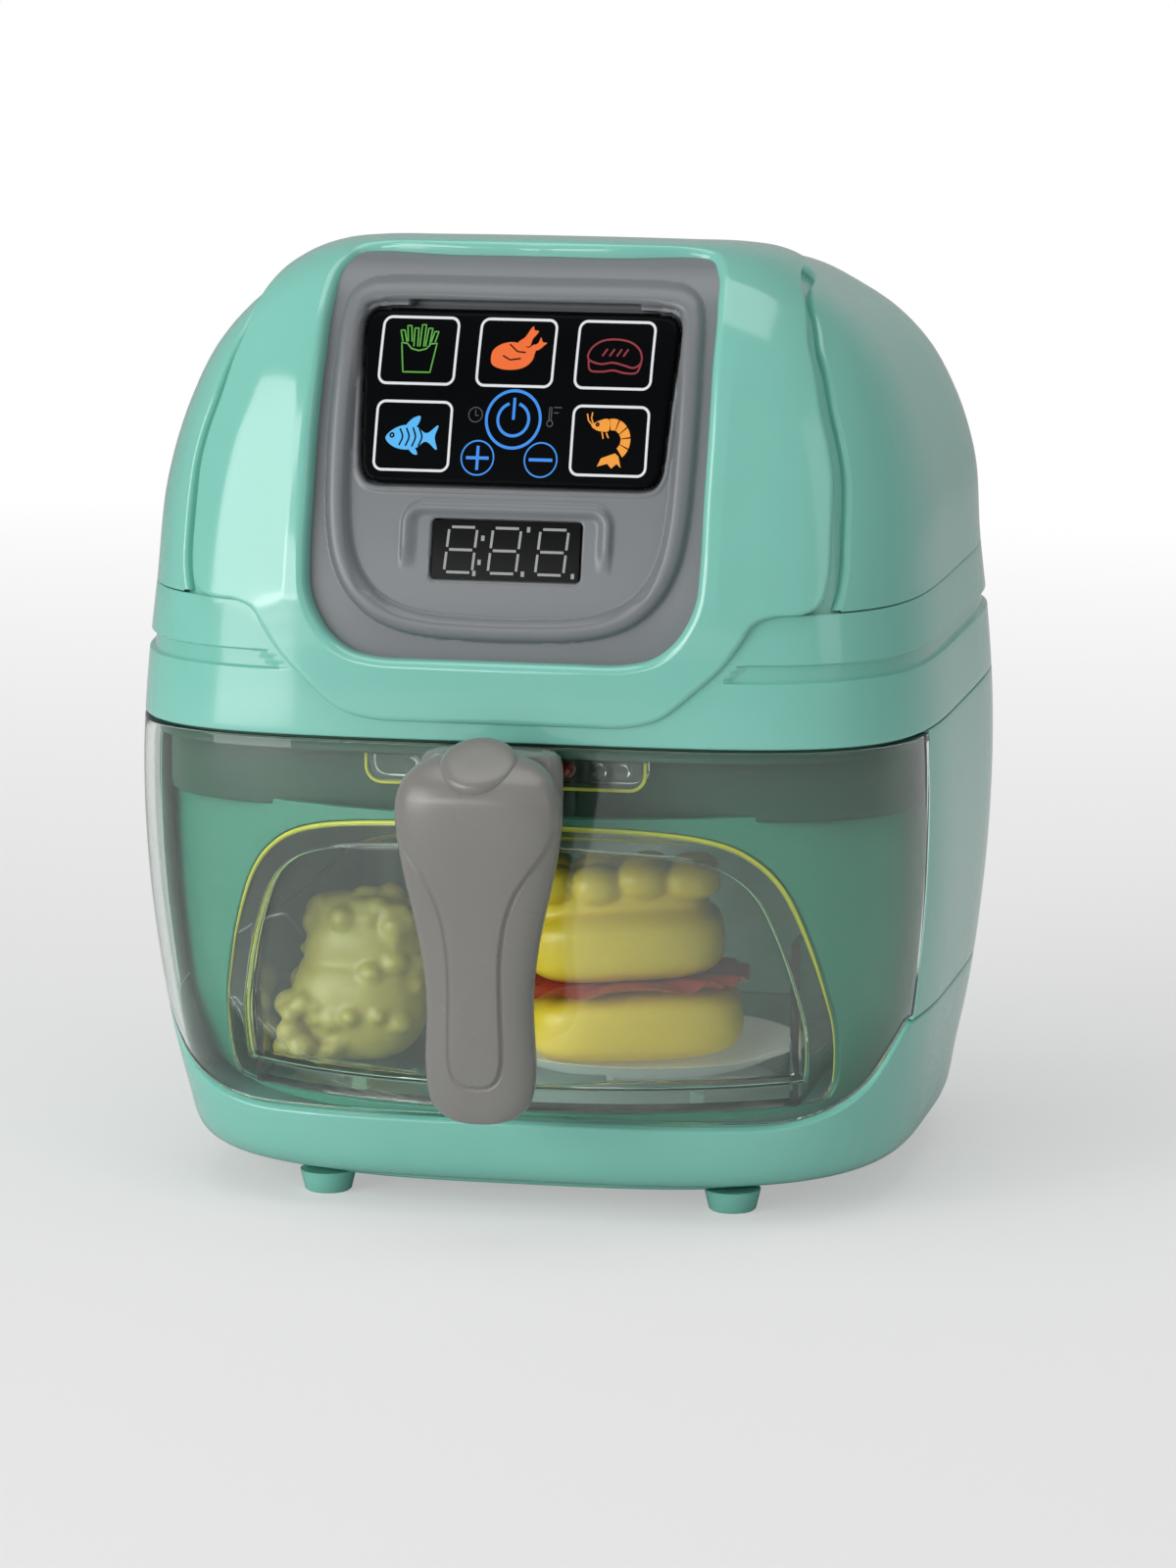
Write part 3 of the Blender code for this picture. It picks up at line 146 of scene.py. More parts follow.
@dataclass(frozen=True)
class Finish:
    """A moulded surface: colour, gloss and the small unevenness that the mould leaves."""

    name: str
    slot: Slot
    colour: str
    shade: str
    roughness: float = 0.2
    roughness_swing: float = 0.06
    ior: float = 1.54
    metallic: float = 0.0
    cloud_mm: float = 45.0
    grain_mm: float = 0.9
    grain_depth_mm: float = 0.006
    ripple_mm: float = 16.0
    ripple_depth_mm: float = 0.02
    coat: float = 0.0
    specular: float = 0.5
    subsurface: float = 0.0
    transmission: float = 0.0
    # Emission on faces that are no lamps: painted light
    glow: float = 0.0

    def make(self) -> bpy.types.Material:
        """Build the node material for this finish, or return the one already made."""
        known = bpy.data.materials.get(self.name)
        if known:
            return known
        material = bpy.data.materials.new(self.name)
        tree = empty_tree(material)
        place = add_node(tree, "TexCoord").outputs["Object"]
        cloud = add_noise(tree, place, self.cloud_mm, 3.0)
        colour = add_node(tree, "Mix", {"data_type": "RGBA", 6: linear(self.shade),
                                        7: linear(self.colour)}, {0: cloud}).outputs[2]
        swing = self.roughness_swing / 2
        rough = add_node(tree, "MapRange", {
            "From Min": 0.3, "From Max": 0.7, "To Min": self.roughness - swing,
            "To Max": self.roughness + swing}, {"Value": cloud}).outputs["Result"]
        ripple = add_noise(tree, place, self.ripple_mm, 1.0)
        waves = add_node(tree, "Bump", {"Strength": 1.0, "Distance": self.ripple_depth_mm * MM},
                         {"Height": ripple}).outputs["Normal"]
        grain = add_noise(tree, place, self.grain_mm, 2.0)
        fine = add_node(tree, "Bump", {"Strength": 1.0, "Distance": self.grain_depth_mm * MM},
                        {"Height": grain, "Normal": waves}).outputs["Normal"]
        shader = add_node(tree, "BsdfPrincipled", {
            "IOR": self.ior, "Metallic": self.metallic, "Coat Weight": self.coat, "Coat Roughness": 0.04,
            "Specular IOR Level": self.specular, "Subsurface Weight": self.subsurface,
            "Subsurface Radius": (4 * MM, 4 * MM, 3 * MM), "Subsurface Scale": 1.0,
            "Transmission Weight": self.transmission, "Emission Color": linear(self.colour),
            "Emission Strength": self.glow,
        }, {"Base Color": colour, "Roughness": rough, "Normal": fine})
        add_node(tree, "OutputMaterial", None, {"Surface": shader.outputs["BSDF"]})
        return material


def print_ink(name: str, colour: str, shade: str, glow: float = 0.0) -> Finish:
    """Matt screen print on the black label; its glow, where given, is painted light."""
    return Finish("screen_print_" + name, Slot.BLACK, colour, shade, roughness=0.4, glow=glow)


# Polystyrene from a polished tool: saturated, mirror-like in streaks, a little wavy
MINT = Finish("mint_polystyrene_gloss_moulded", Slot.MINT, "80C8B9", "78C0B0", roughness=0.13, ior=1.59,
              coat=0.25, subsurface=0.04)
# The inside faces seen through the clear front: rougher, with the mint darkened as painted shade
PAINTED_SHADE_MINT = Finish("mint_polystyrene_inner_face_painted_shade", Slot.MINT, "3C8470", "347866", roughness=0.45,
                     ior=1.50, ripple_depth_mm=0.01, grain_mm=2.0, grain_depth_mm=0.002)
# The same face darker still, as painted shadow where the collar shades it
PAINTED_SHADOW_MINT = Finish("mint_polystyrene_painted_shadow_skirt", Slot.MINT, "1A4838", "174031", roughness=0.5,
                   ior=1.50, ripple_depth_mm=0.01, grain_mm=2.0, grain_depth_mm=0.002)
# ABS from a fine spark-eroded tool: a soft broad sheen without a mirror
GREY = Finish("grey_abs_satin_moulded", Slot.GREY, "777B7E", "6F7376", roughness=0.34, grain_mm=0.7,
              grain_depth_mm=0.012)
# The handle is a warmer grey from a smoother tool, so its highlights are tighter
HANDLE = Finish("warm_grey_abs_moulded", Slot.GREY, "807F7B", "787773", roughness=0.27, grain_mm=1.4,
                grain_depth_mm=0.003, ripple_depth_mm=0.0)
# Printed polyester label over black ABS: very smooth and deep
BLACK = Finish("black_label_satin", Slot.BLACK, "060709", "030405", roughness=0.3, specular=0.04,
               ripple_depth_mm=0.01)
SMOKED = Finish("smoked_acrylic_window", Slot.BLACK, "08090A", "050606", roughness=0.2, specular=0.1)
SEGMENT = Finish("unlit_segment_grey", Slot.BLACK, "9EA0A2", "8E9092", roughness=0.45)
# Crystal polystyrene: clear with a faint green cast, light pipes to its cut edges
CLEAR = Finish("clear_polystyrene_moulded", Slot.CLEAR, "FAFDFB", "F6FBF8", roughness=0.02,
               roughness_swing=0.015, ior=1.49, transmission=1.0, ripple_depth_mm=0.008,
               grain_depth_mm=0.001)
# The front sheet is thicker, and its green cast and wavy mould show as a soft veil
CLEAR_FRONT = Finish("clear_polystyrene_front_sheet", Slot.CLEAR, "F2F8F4", "EEF6F1", roughness=0.02,
                     roughness_swing=0.02, ior=1.49, transmission=1.0, ripple_mm=30.0,
                     ripple_depth_mm=0.02, grain_depth_mm=0.0005)
# The same sheet seen on its edge, yellow-green with a painted glow that stands for the light it collects
PAINTED_GLOW_EDGE = Finish("clear_polystyrene_painted_glow_edge", Slot.CLEAR, "BEC238", "A8AE30", roughness=0.25, glow=0.10,
              subsurface=0.3)
# A thinner step of the sheet, pale green with a weaker painted glow for the light it collects
PAINTED_GLOW_STEP = Finish("clear_polystyrene_painted_glow_step_edge", Slot.CLEAR, "8FC0A0", "84B696", roughness=0.2, glow=0.03)
# Soft vinyl, slush moulded and sprayed: waxy, lets light in a little way
BREAD = Finish("yellow_soft_vinyl", Slot.BREAD, "EED23C", "E0C430", roughness=0.36, subsurface=0.15,
               cloud_mm=14.0, ripple_mm=6.0, ripple_depth_mm=0.1)
CRISP = Finish("pale_yellow_green_soft_vinyl", Slot.CRISP, "A89F46", "9A9038", roughness=0.40,
               subsurface=0.15, cloud_mm=12.0, ripple_mm=5.0, ripple_depth_mm=0.15)
RED = Finish("red_soft_vinyl", Slot.RED, "B8322E", "A42824", roughness=0.3, subsurface=0.1)
RED_LENS = Finish("red_epoxy_lens", Slot.RED, "C01C20", "A8141A", roughness=0.08, subsurface=0.4, coat=0.5)
# White polystyrene; its glow is painted light that brightens the dish in the tub's shade
WHITE = Finish("white_polystyrene_gloss_painted_glow", Slot.WHITE, "E9EBE8", "DFE2DF", roughness=0.18, coat=0.2,
               glow=0.12)
BOARD = Finish("green_solder_mask", Slot.BOARD, "1C6B3C", "165A32", roughness=0.35, grain_mm=2.5,
               grain_depth_mm=0.03)
STEEL = Finish("zinc_plated_steel", Slot.STEEL, "B9BBBF", "A9ABB0", roughness=0.3, metallic=1.0, ior=1.5)
CELL = Finish("battery_sleeve_film", Slot.CELL, "2B3038", "22262D", roughness=0.25, coat=0.3)
RUBBER = Finish("dark_keypad_rubber", Slot.BLACK, "303235", "26282B", roughness=0.6)
PRINT_WHITE = print_ink("white", "E4E6E8", "DADDE0")
# The coloured inks glow a little: painted light
PRINT_BLUE = print_ink("blue", "2C8CEB", "2480DC", 0.06)
PRINT_LIGHT_BLUE = print_ink("light_blue", "4FB4F0", "45A8E6", 0.06)
PRINT_GREEN = print_ink("green", "58A83E", "4E9C36", 0.04)
PRINT_ORANGE = print_ink("orange", "EC6A26", "E0601E", 0.06)
PRINT_DARK_RED = print_ink("dark_red", "8E2430", "821E2A", 0.03)
PRINT_AMBER = print_ink("amber", "F09A2A", "E48E20", 0.06)
PRINT_GREY = print_ink("grey", "4A4C50", "424448")

SLOT_FINISH = {finish.slot: finish for finish in (
    MINT, GREY, BLACK, CLEAR, RED_LENS, WHITE, BREAD, CRISP, BOARD, STEEL, CELL)}
NODE_FINISH = {"key_switch": RUBBER, "power_knob": RUBBER, "speaker": RUBBER}


def paint(piece: Piece, finish: Finish) -> None:
    """Give a piece one finish all over."""
    piece.data.materials.clear()
    piece.data.materials.append(finish.make())


def settle(piece: Piece, finish: Finish, body: Body, *instead_of: str) -> None:
    """Give a finished piece its finish, its body and the CAD nodes that it stands for."""
    paint(piece, finish)
    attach(piece, body.value)
    if instead_of:
        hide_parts(*instead_of)
    if finish.transmission > 0:
        piece.visible_shadow = False
    LOG.info("%s rides on %s, %s", piece.name, body.value, finish.name)


def link(name: str, mesh: bpy.types.Mesh) -> Piece:
    """Put a mesh into the scene as an object."""
    piece = bpy.data.objects.new(name, mesh)
    bpy.context.scene.collection.objects.link(piece)
    return piece


def shade(mesh: bpy.types.Mesh, sharp: float) -> None:
    """Shade a mesh smooth, but for the edges that turn more than sharp degrees."""
    mesh.shade_smooth()
    mesh.set_sharp_from_angle(angle=math.radians(sharp))


def mesh_piece(name: str, points: Array | Sequence[Vector], faces: Faces,
               sharp: float = SHARP_DEGREES) -> Piece:
    """Make a smooth-shaded object from points and faces, faces out."""
    mesh = bpy.data.meshes.new(name)
    mesh.from_pydata([tuple(p) for p in points], [], [tuple(f) for f in faces])
    shape = bmesh.new()
    shape.from_mesh(mesh)
    bmesh.ops.remove_doubles(shape, verts=shape.verts, dist=MERGE)
    bmesh.ops.dissolve_degenerate(shape, edges=shape.edges, dist=MERGE / 2)
    bmesh.ops.recalc_face_normals(shape, faces=shape.faces)
    shape.to_mesh(mesh)
    shape.free()
    shade(mesh, sharp)
    return link(name, mesh)


def baked(piece: Piece) -> bpy.types.Mesh:
    """Replace a piece's mesh with what its modifiers make of it."""
    bpy.context.view_layer.update()
    result = bpy.data.meshes.new_from_object(piece.evaluated_get(bpy.context.evaluated_depsgraph_get()))
    piece.modifiers.clear()
    piece.data = result
    return result


def middle_of(node: str) -> Vector:
    """Middle of a CAD node's box."""
    low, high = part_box(node)
    return (low + high) / 2


def grid_faces(rows: int, columns: int, wrap_rows: bool = False, wrap_columns: bool = False) -> Faces:
    """Faces of a grid of points stored row by row, which may close on itself both ways."""
    faces: Faces = []
    for i in range(rows if wrap_rows else rows - 1):
        for j in range(columns if wrap_columns else columns - 1):
            k, m = (i + 1) % rows, (j + 1) % columns
            faces.append((i * columns + j, i * columns + m, k * columns + m, k * columns + j))
    return faces


def capped_faces(rows: int, columns: int) -> Faces:
    """Faces of a stack of closed rings, capped at both ends."""
    caps = [list(range(columns)), list(range((rows - 1) * columns, rows * columns))]
    return grid_faces(rows, columns, False, True) + caps


def swept_faces(rows: int, columns: int) -> Faces:
    """Faces of a closed section swept along an open line, with both ends closed."""
    ends = [[row * columns + column for row in range(rows)] for column in (0, columns - 1)]
    return grid_faces(rows, columns, True, False) + ends


def sheet_faces(rows: int, columns: int) -> Faces:
    """Faces of a front grid, of a back grid stored after it, and of the border between them."""
    front, size = grid_faces(rows, columns), rows * columns
    border = [(0, j) for j in range(columns)] + [(i, columns - 1) for i in range(1, rows)]
    border += [(rows - 1, j) for j in range(columns - 2, -1, -1)] + [(i, 0) for i in range(rows - 2, 0, -1)]
    numbers = [i * columns + j for i, j in border]
    return (front + [tuple(size + i for i in reversed(f)) for f in front]
            + [(a, b, size + b, size + a) for a, b in zip(numbers, numbers[1:] + numbers[:1])])


def unit(v: Array) -> Array:
    """Scale directions to length one."""
    return v / np.maximum(np.linalg.norm(v, axis=-1, keepdims=True), NEARLY_ZERO)


def run_along(line: Array) -> Array:
    """Distance run at each place of a line."""
    return np.concatenate(([0.0], np.cumsum(np.linalg.norm(np.diff(line, axis=0), axis=1))))


def read_off(line: Array, marks: Array, wanted: Array) -> Array:
    """Places of a line where its rising marks have the wanted values."""
    return np.column_stack([np.interp(wanted, marks, line[:, k]) for k in range(line.shape[1])])


def mirrored(right: Array) -> Array:
    """Complete the right half of a front view outline with its mirror image."""
    return np.vstack((right, right[::-1] * np.array([-1, 1])))


def bent(value: Array, power: float) -> Array:
    """Raise to a power and keep the sign, as a rounded square asks for."""
    return np.sign(value) * np.abs(value) ** power


def ease(value: Array, low: float, high: float) -> Array:
    """Rise smoothly from 0 at low to 1 at high."""
    t = np.clip((value - low) / (high - low), 0, 1)
    return t * t * (3 - 2 * t)


def halve(low: Array, high: Array, steps: int, beyond: Callable[[Array], Array]) -> Array:
    """Halve the stretch between low and high around the value where beyond turns true."""
    for _ in range(steps):
        middle = (low + high) / 2
        past = beyond(middle)
        high, low = np.where(past, middle, high), np.where(past, low, middle)
    return middle


def through(points: Array, count: int, closed: bool = False) -> Array:
    """Run a smooth curve through points and give back evenly spaced places on it."""
    pts = np.asarray(points, float)
    ends = (pts[-1:], pts[:2]) if closed else (2 * pts[:1] - pts[1:2], 2 * pts[-1:] - pts[-2:-1])
    pts = np.vstack((ends[0], pts, ends[1]))
    dense = []
    for a, b, c, d in zip(pts, pts[1:], pts[2:], pts[3:]):
        steps = [max(np.linalg.norm(q - p), 1e-9) ** 0.5 for p, q in ((a, b), (b, c), (c, d))]
        t0, t1, t2, t3 = 0.0, steps[0], steps[0] + steps[1], sum(steps)
        t = np.linspace(t1, t2, 24, endpoint=False)[:, None]
        ab = (t1 - t) / (t1 - t0) * a + (t - t0) / (t1 - t0) * b
        bc = (t2 - t) / (t2 - t1) * b + (t - t1) / (t2 - t1) * c
        cd = (t3 - t) / (t3 - t2) * c + (t - t2) / (t3 - t2) * d
        abc = (t2 - t) / (t2 - t0) * ab + (t - t0) / (t2 - t0) * bc
        bcd = (t3 - t) / (t3 - t1) * bc + (t - t1) / (t3 - t1) * cd
        dense.append((t2 - t) / (t2 - t1) * abc + (t - t1) / (t2 - t1) * bcd)
    line = np.vstack(dense + ([dense[0][:1]] if closed else [pts[-2:-1]]))
    run = run_along(line)
    return read_off(line, run, np.linspace(0, run[-1], count, endpoint=not closed))


def signed_distance(x: Array, z: Array, outline: Array) -> Array:
    """Distance from places to a closed outline, negative inside."""
    best = np.full(x.shape, 1e9)
    inside = np.zeros(x.shape, bool)
    for (ax, az), (bx, bz) in zip(outline, np.roll(outline, -1, axis=0)):
        dx, dz = bx - ax, bz - az
        t = np.clip(((x - ax) * dx + (z - az) * dz) / max(dx * dx + dz * dz, 1e-18), 0, 1)
        best = np.minimum(best, (x - ax - t * dx) ** 2 + (z - az - t * dz) ** 2)
        if az != bz:
            crosses = (az > z) != (bz > z)
            inside ^= crosses & (x < (bx - ax) * (z - az) / (bz - az) + ax)
    return np.where(inside, -1.0, 1.0) * np.sqrt(best)


# Plan sections as in the solids: share of height, of half width, front and rear inset as shares of
# depth, and the power of the rounded square. The last three close the crown over the top.
SECTION_SHARES = (
    (0.0236, 0.6890, 0.1512, 0.1512, 3.4),
    (0.0563, 0.9064, 0.0732, 0.0683, 3.6),
    (0.1059, 0.9293, 0.0556, 0.0537, 3.9),
    (0.1670, 0.9576, 0.0390, 0.0390, 4.0),
    (0.2477, 0.9823, 0.0195, 0.0195, 4.1),
    (0.3472, 1.0000, 0.0059, 0.0078, 4.3),
    (0.4786, 0.9990, 0.0000, 0.0000, 4.6),
    (0.5724, 0.9841, 0.0039, 0.0029, 4.6),
    (0.6494, 0.9647, 0.0127, 0.0098, 4.6),
    (0.7526, 0.9479, 0.0449, 0.0220, 4.5),
    (0.8315, 0.8975, 0.0790, 0.0439, 4.6),
    (0.8934, 0.8304, 0.1132, 0.0756, 4.6),
    (0.9366, 0.7465, 0.1444, 0.1073, 4.6),
    (0.9666, 0.6581, 0.1737, 0.1512, 4.5),
    (0.9854, 0.5919, 0.2078, 0.1976, 4.3),
    (0.9959, 0.5256, 0.2463, 0.2439, 4.1),
    (1.0000, 0.4505, 0.2878, 0.3024, 3.9),
    (1.0010, 0.3180, 0.3480, 0.3626, 3.4),
    (1.0016, 0.1500, 0.4245, 0.4391, 2.8),
    (1.0018, 0.0100, 0.4882, 0.5028, 2.2),
)


@dataclass
class HousingForm:
    """The housing's body as one smooth surface that shells, seams and raised parts follow.

    A place on it is a turn about the middle, measured from +X, and a run up the form.
    """

    height: float = 266.4 * MM
    top_slope: float = 0.10
    slope_start: float = 50.0 * MM
    slope_low: float = 190.0 * MM
    slope_soft: float = 6.0 * MM
    turn_step: float = 1e-4
    run_step: float = 0.02 * MM
    front_add: float = 0.0
    side_add: float = 0.0
    power: Optional[float] = None
    front: float = field(init=False)
    depth: float = field(init=False)
    rows: Array = field(init=False)
    knots: Array = field(init=False)
    pulls: Array = field(init=False)

    def __post_init__(self) -> None:
        """Measure the frame and lay out the sections."""
        self.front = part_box("drawer_front")[0][1]
        self.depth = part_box("rear_shell")[1][1] - self.front
        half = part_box("rear_shell")[1][0]
        self.rows = np.array([
            (z * self.height, w * half + self.side_add, f * self.depth + self.front_add,
             r * self.depth - self.side_add, self.power or n) for z, w, f, r, n in SECTION_SHARES])
        self.knots = run_along(self.rows[:, :3])
        steps = np.linalg.norm(np.diff(self.rows[:, :3], axis=0), axis=1)[:, None]
        slopes = np.diff(self.rows, axis=0) / steps
        inner = (slopes[:-1] * steps[1:] + slopes[1:] * steps[:-1]) / (steps[1:] + steps[:-1])
        self.pulls = np.vstack((slopes[:1], inner, slopes[-1:]))

    def section(self, run: Array) -> Array:
        """Height, half width, front inset, rear inset and power at places up the form."""
        run = np.clip(np.asarray(run, float), 0, self.knots[-1])
        i = np.clip(np.searchsorted(self.knots, run, side="right") - 1, 0, len(self.knots) - 2)
        span = self.knots[i + 1] - self.knots[i]
        t = ((run - self.knots[i]) / span)[..., None]
        span = span[..., None]
        a, b, p, q = self.rows[i], self.rows[i + 1], self.pulls[i], self.pulls[i + 1]
        return ((2 * t**3 - 3 * t**2 + 1) * a + (t**3 - 2 * t**2 + t) * span * p
                + (3 * t**2 - 2 * t**3) * b + (t**3 - t**2) * span * q)

    def base_point(self, turn: Array, run: Array) -> Array:
        """Places on the form."""
        s = self.section(run)
        z, half, front, rear, n = (s[..., k] for k in range(5))
        deep = (self.depth - front - rear) / 2
        centre = self.front + (front + self.depth - rear) / 2
        c, d = np.cos(turn), np.sin(turn)
        reach = ((np.abs(c) / half) ** n + (np.abs(d) / deep) ** n) ** (-1 / n)
        y = centre + reach * d
        behind = y - self.front - self.slope_start
        behind = (behind + np.sqrt(behind**2 + self.slope_soft**2)) / 2
        fall = np.clip((z - self.slope_low) / (self.height - self.slope_low), 0, 1) * self.top_slope
        return np.stack((reach * c, y, z - fall * behind), axis=-1)

    def on(self, line: Array) -> Array:
        """Places on the form along a line of turn and run."""
        return self.base_point(line[:, 0], line[:, 1])

    def slopes(self, turn: Array, run: Array) -> tuple[Array, Array]:
        """How places on the form move with the turn and with the run."""
        e, f = self.turn_step, self.run_step
        across = (self.base_point(turn + e, run) - self.base_point(turn - e, run)) / (2 * e)
        up = (self.base_point(turn, run + f) - self.base_point(turn, run - f)) / (2 * f)
        return across, up

    def normal(self, turn: Array, run: Array) -> Array:
        """Outward directions at places on the form."""
        return unit(np.cross(*self.slopes(turn, run)))

    def point(self, turn: Array, run: Array, lift: float) -> Array:
        """Places on the form, raised along its normal by lift."""
        return self.base_point(turn, run) + self.normal(turn, run) * lift

    def nearest(self, places: Array, turn: Array, run: Array) -> Track:
        """Turn and run of the form's places nearest to given ones, worked out from a first guess."""
        for _ in range(8):
            miss = places - self.base_point(turn, run)
            across, up = self.slopes(turn, run)
            aa, bb, ab = ((p * q).sum(axis=-1) for p, q in ((across, across), (up, up), (across, up)))
            ma, mb = ((miss * p).sum(axis=-1) for p in (across, up))
            whole = np.maximum(aa * bb - ab * ab, 1e-15)
            turn = turn + (ma * bb - mb * ab) / whole
            run = run + (mb * aa - ma * ab) / whole
        return turn, run

    def run_at(self, height: Array | float) -> Array:
        """How far up the form a height of the sections lies."""
        table = np.linspace(0, self.knots[-1], 4000)
        return np.interp(height, self.section(table)[:, 0], table)

    def level(self, turns: Array, height: float) -> Array:
        """Line of turn and run at one height."""
        return np.column_stack((turns, np.full(turns.shape, float(self.run_at(height)))))

    def on_front(self, x: Array, z: Array) -> Track:
        """The places of the form's front that lie there in the front view."""
        run = self.run_at(z)
        s = self.section(run)
        deep = (self.depth - s[..., 2] - s[..., 3]) / 2
        share = np.clip(np.abs(x) / s[..., 1], 0, 1) ** s[..., 4]
        return np.arctan2(-deep * (1 - share) ** (1 / s[..., 4]), x), run

    def on_top(self, x: Array, inset: Array) -> Track:
        """The places of the form's shoulder and top that lie there in plan."""
        def from_middle(s: Array) -> Array:
            """Depth of the places, counted from the middle of a section."""
            return inset - (s[..., 2] + self.depth - s[..., 3]) / 2

        def outside(run: Array) -> Array:
            """Whether the section at a run is too small to reach the places."""
            s = self.section(run)
            deep = (self.depth - s[..., 2] - s[..., 3]) / 2
            return (np.abs(x) / s[..., 1]) ** s[..., 4] + (np.abs(from_middle(s)) / deep) ** s[..., 4] > 1

        low, high = (np.full(x.shape, float(v)) for v in (self.run_at(215 * MM), self.knots[-1]))
        run = halve(low, high, 40, outside)
        return np.arctan2(from_middle(self.section(run)), x), run

    def depth_at(self, x: Array, z: Array) -> Array:
        """Depth of the form's front at places in the front view."""
        return self.base_point(*self.on_front(x, z))[..., 1]


def join_tracks(*tracks: Track) -> Array:
    """Make one line of turn and run from tracks, one after another."""
    return np.vstack([np.column_stack(track) for track in tracks])


def whole_loop(half: Array) -> Array:
    """Complete the right half of a loop, bottom to top, with its mirror image."""
    left = half[::-1][1:-1].copy()
    left[:, 0] = -math.pi - left[:, 0]
    return np.vstack((half, left))


def smooth_half(rows: Array, count: int = 900) -> Array:
    """Smooth the right half of a loop through its chosen places, level at both ends."""
    spread = np.array([100 * MM, 1.0])
    ends = rows[1:2].copy(), rows[-2:-1].copy()
    for end in ends:
        end[:, 0] = -math.pi - end[:, 0]
    padded = np.vstack((ends[0], rows, ends[1])) * spread
    dense = through(padded, 40 * len(padded))
    low, high = (int(np.argmin(np.linalg.norm(dense - row * spread, axis=1))) for row in (rows[0], rows[-1]))
    return through(dense[low:high + 1:6], count) / spread


def rolled(edge: Array, out: Array, up: Array, radius: float, drop: float) -> Array:
    """Layers of a rolled edge, from its foot inside up to the skin."""
    centre = edge - up * radius
    arc = [centre + radius * (out * math.sin(a) + up * math.cos(a)) for a in np.linspace(QUARTER, 0, 7)[:-1]]
    return np.stack([centre + radius * out - up * drop] + arc)


def shell(name: str, form: HousingForm, inner: Array, outer: Array, wall: float, radius: float | Pair,
          levels: int | Array, lift: float | Relief = 0.0, closed: bool = True) -> Piece:
    """Make a moulded shell between two lines on the form, with rolled edges and a real wall.

    The lines are matched place by place. The radius is how much the edges are rolled over, one
    number or the inner and the outer one. The levels are the rows of faces between the edges, or
    the places of the rows as shares from the inner to the outer edge. The lift is the height over
    the form, or a function of turn and run that gives it.
    """
    rolls = radius if isinstance(radius, tuple) else (radius, radius)
    probe = np.linspace(0, 1, 9)[:, None]
    line = form.base_point(inner[:, 0] * (1 - probe) + outer[:, 0] * probe,
                           inner[:, 1] * (1 - probe) + outer[:, 1] * probe)
    length = np.maximum(np.linalg.norm(np.diff(line, axis=0), axis=-1).sum(axis=0), 1.5 * sum(rolls))
    shares = np.linspace(0, 1, levels + 1) if isinstance(levels, int) else levels
    t = rolls[0] / length + (1 - sum(rolls) / length) * shares[:, None]
    turn = inner[:, 0] * (1 - t) + outer[:, 0] * t
    run = inner[:, 1] * (1 - t) + outer[:, 1] * t
    up = form.normal(turn, run)
    skin = form.base_point(turn, run) + up * (lift(turn, run)[..., None] if callable(lift) else lift)
    edges = []
    for end, beside, roll in ((0, 1, rolls[0]), (-1, -2, rolls[1])):
        out = skin[end] - skin[beside]
        out = unit(out - up[end] * (out * up[end]).sum(axis=-1, keepdims=True))
        edges.append(rolled(skin[end], out, up[end], roll, wall - roll))
    back = skin[::2] - up[::2] * wall
    loop = np.concatenate((edges[0], skin, edges[1][::-1], back[::-1]))
    size = loop.shape[:2]
    faces = grid_faces(*size, True, True) if closed else swept_faces(*size)
    return mesh_piece(name, loop.reshape(-1, 3), faces)


def tube(name: str, path: Array, radius: float | Array, sides: int = 10) -> Piece:
    """Sweep a round section along a path, with one radius or one for each place."""
    ahead = np.roll(path, -1, axis=0) - np.roll(path, 1, axis=0)
    ahead[0], ahead[-1] = path[1] - path[0], path[-1] - path[-2]
    ahead = unit(ahead)
    side = unit(np.cross(ahead, (0.0, 1.0, 0.0)))
    up = np.cross(side, ahead)
    radius = np.broadcast_to(radius, len(path))[:, None]
    rings = [path + radius * (side * math.cos(a) + up * math.sin(a))
             for a in np.linspace(0, math.tau, sides, endpoint=False)]
    return mesh_piece(name, np.stack(rings, axis=1).reshape(-1, 3), capped_faces(len(path), sides))


def lathe(name: str, profile: Line, centre: Vector, axis: str = "Z", sides: int = 48) -> Piece:
    """Turn a profile of radius and height, from the axis out and back, about the Z or the Y axis."""
    points = []
    for radius, height in profile:
        for a in np.linspace(0, math.tau, sides, endpoint=False):
            x, w = radius * math.cos(a), radius * math.sin(a)
            points.append(Vector((x, w, height) if axis == "Z" else (x, -height, w)) + centre)
    return mesh_piece(name, points, grid_faces(len(profile), sides, False, True))


def cutter(name: str, shape: bmesh.types.BMesh) -> Piece:
    """Turn a bmesh into a temporary object for cutting."""
    mesh = bpy.data.meshes.new(name)
    shape.to_mesh(mesh)
    shape.free()
    return link(name, mesh)


def block(name: str, low: Vector, high: Vector) -> Piece:
    """A box-shaped cutter between two corners."""
    shape = bmesh.new()
    bmesh.ops.create_cube(shape, size=1.0)
    lay = Matrix.Translation((low + high) / 2) @ Matrix.Diagonal((*(high - low), 1.0))
    bmesh.ops.transform(shape, matrix=lay, verts=shape.verts)
    return cutter(name, shape)


def drum(name: str, centre: Vector, radius: float, length: float) -> Piece:
    """A round cutter that stands upright."""
    shape = bmesh.new()
    bmesh.ops.create_cone(shape, cap_ends=True, segments=24, radius1=radius, radius2=radius, depth=length)
    bmesh.ops.translate(shape, vec=centre, verts=shape.verts)
    return cutter(name, shape)


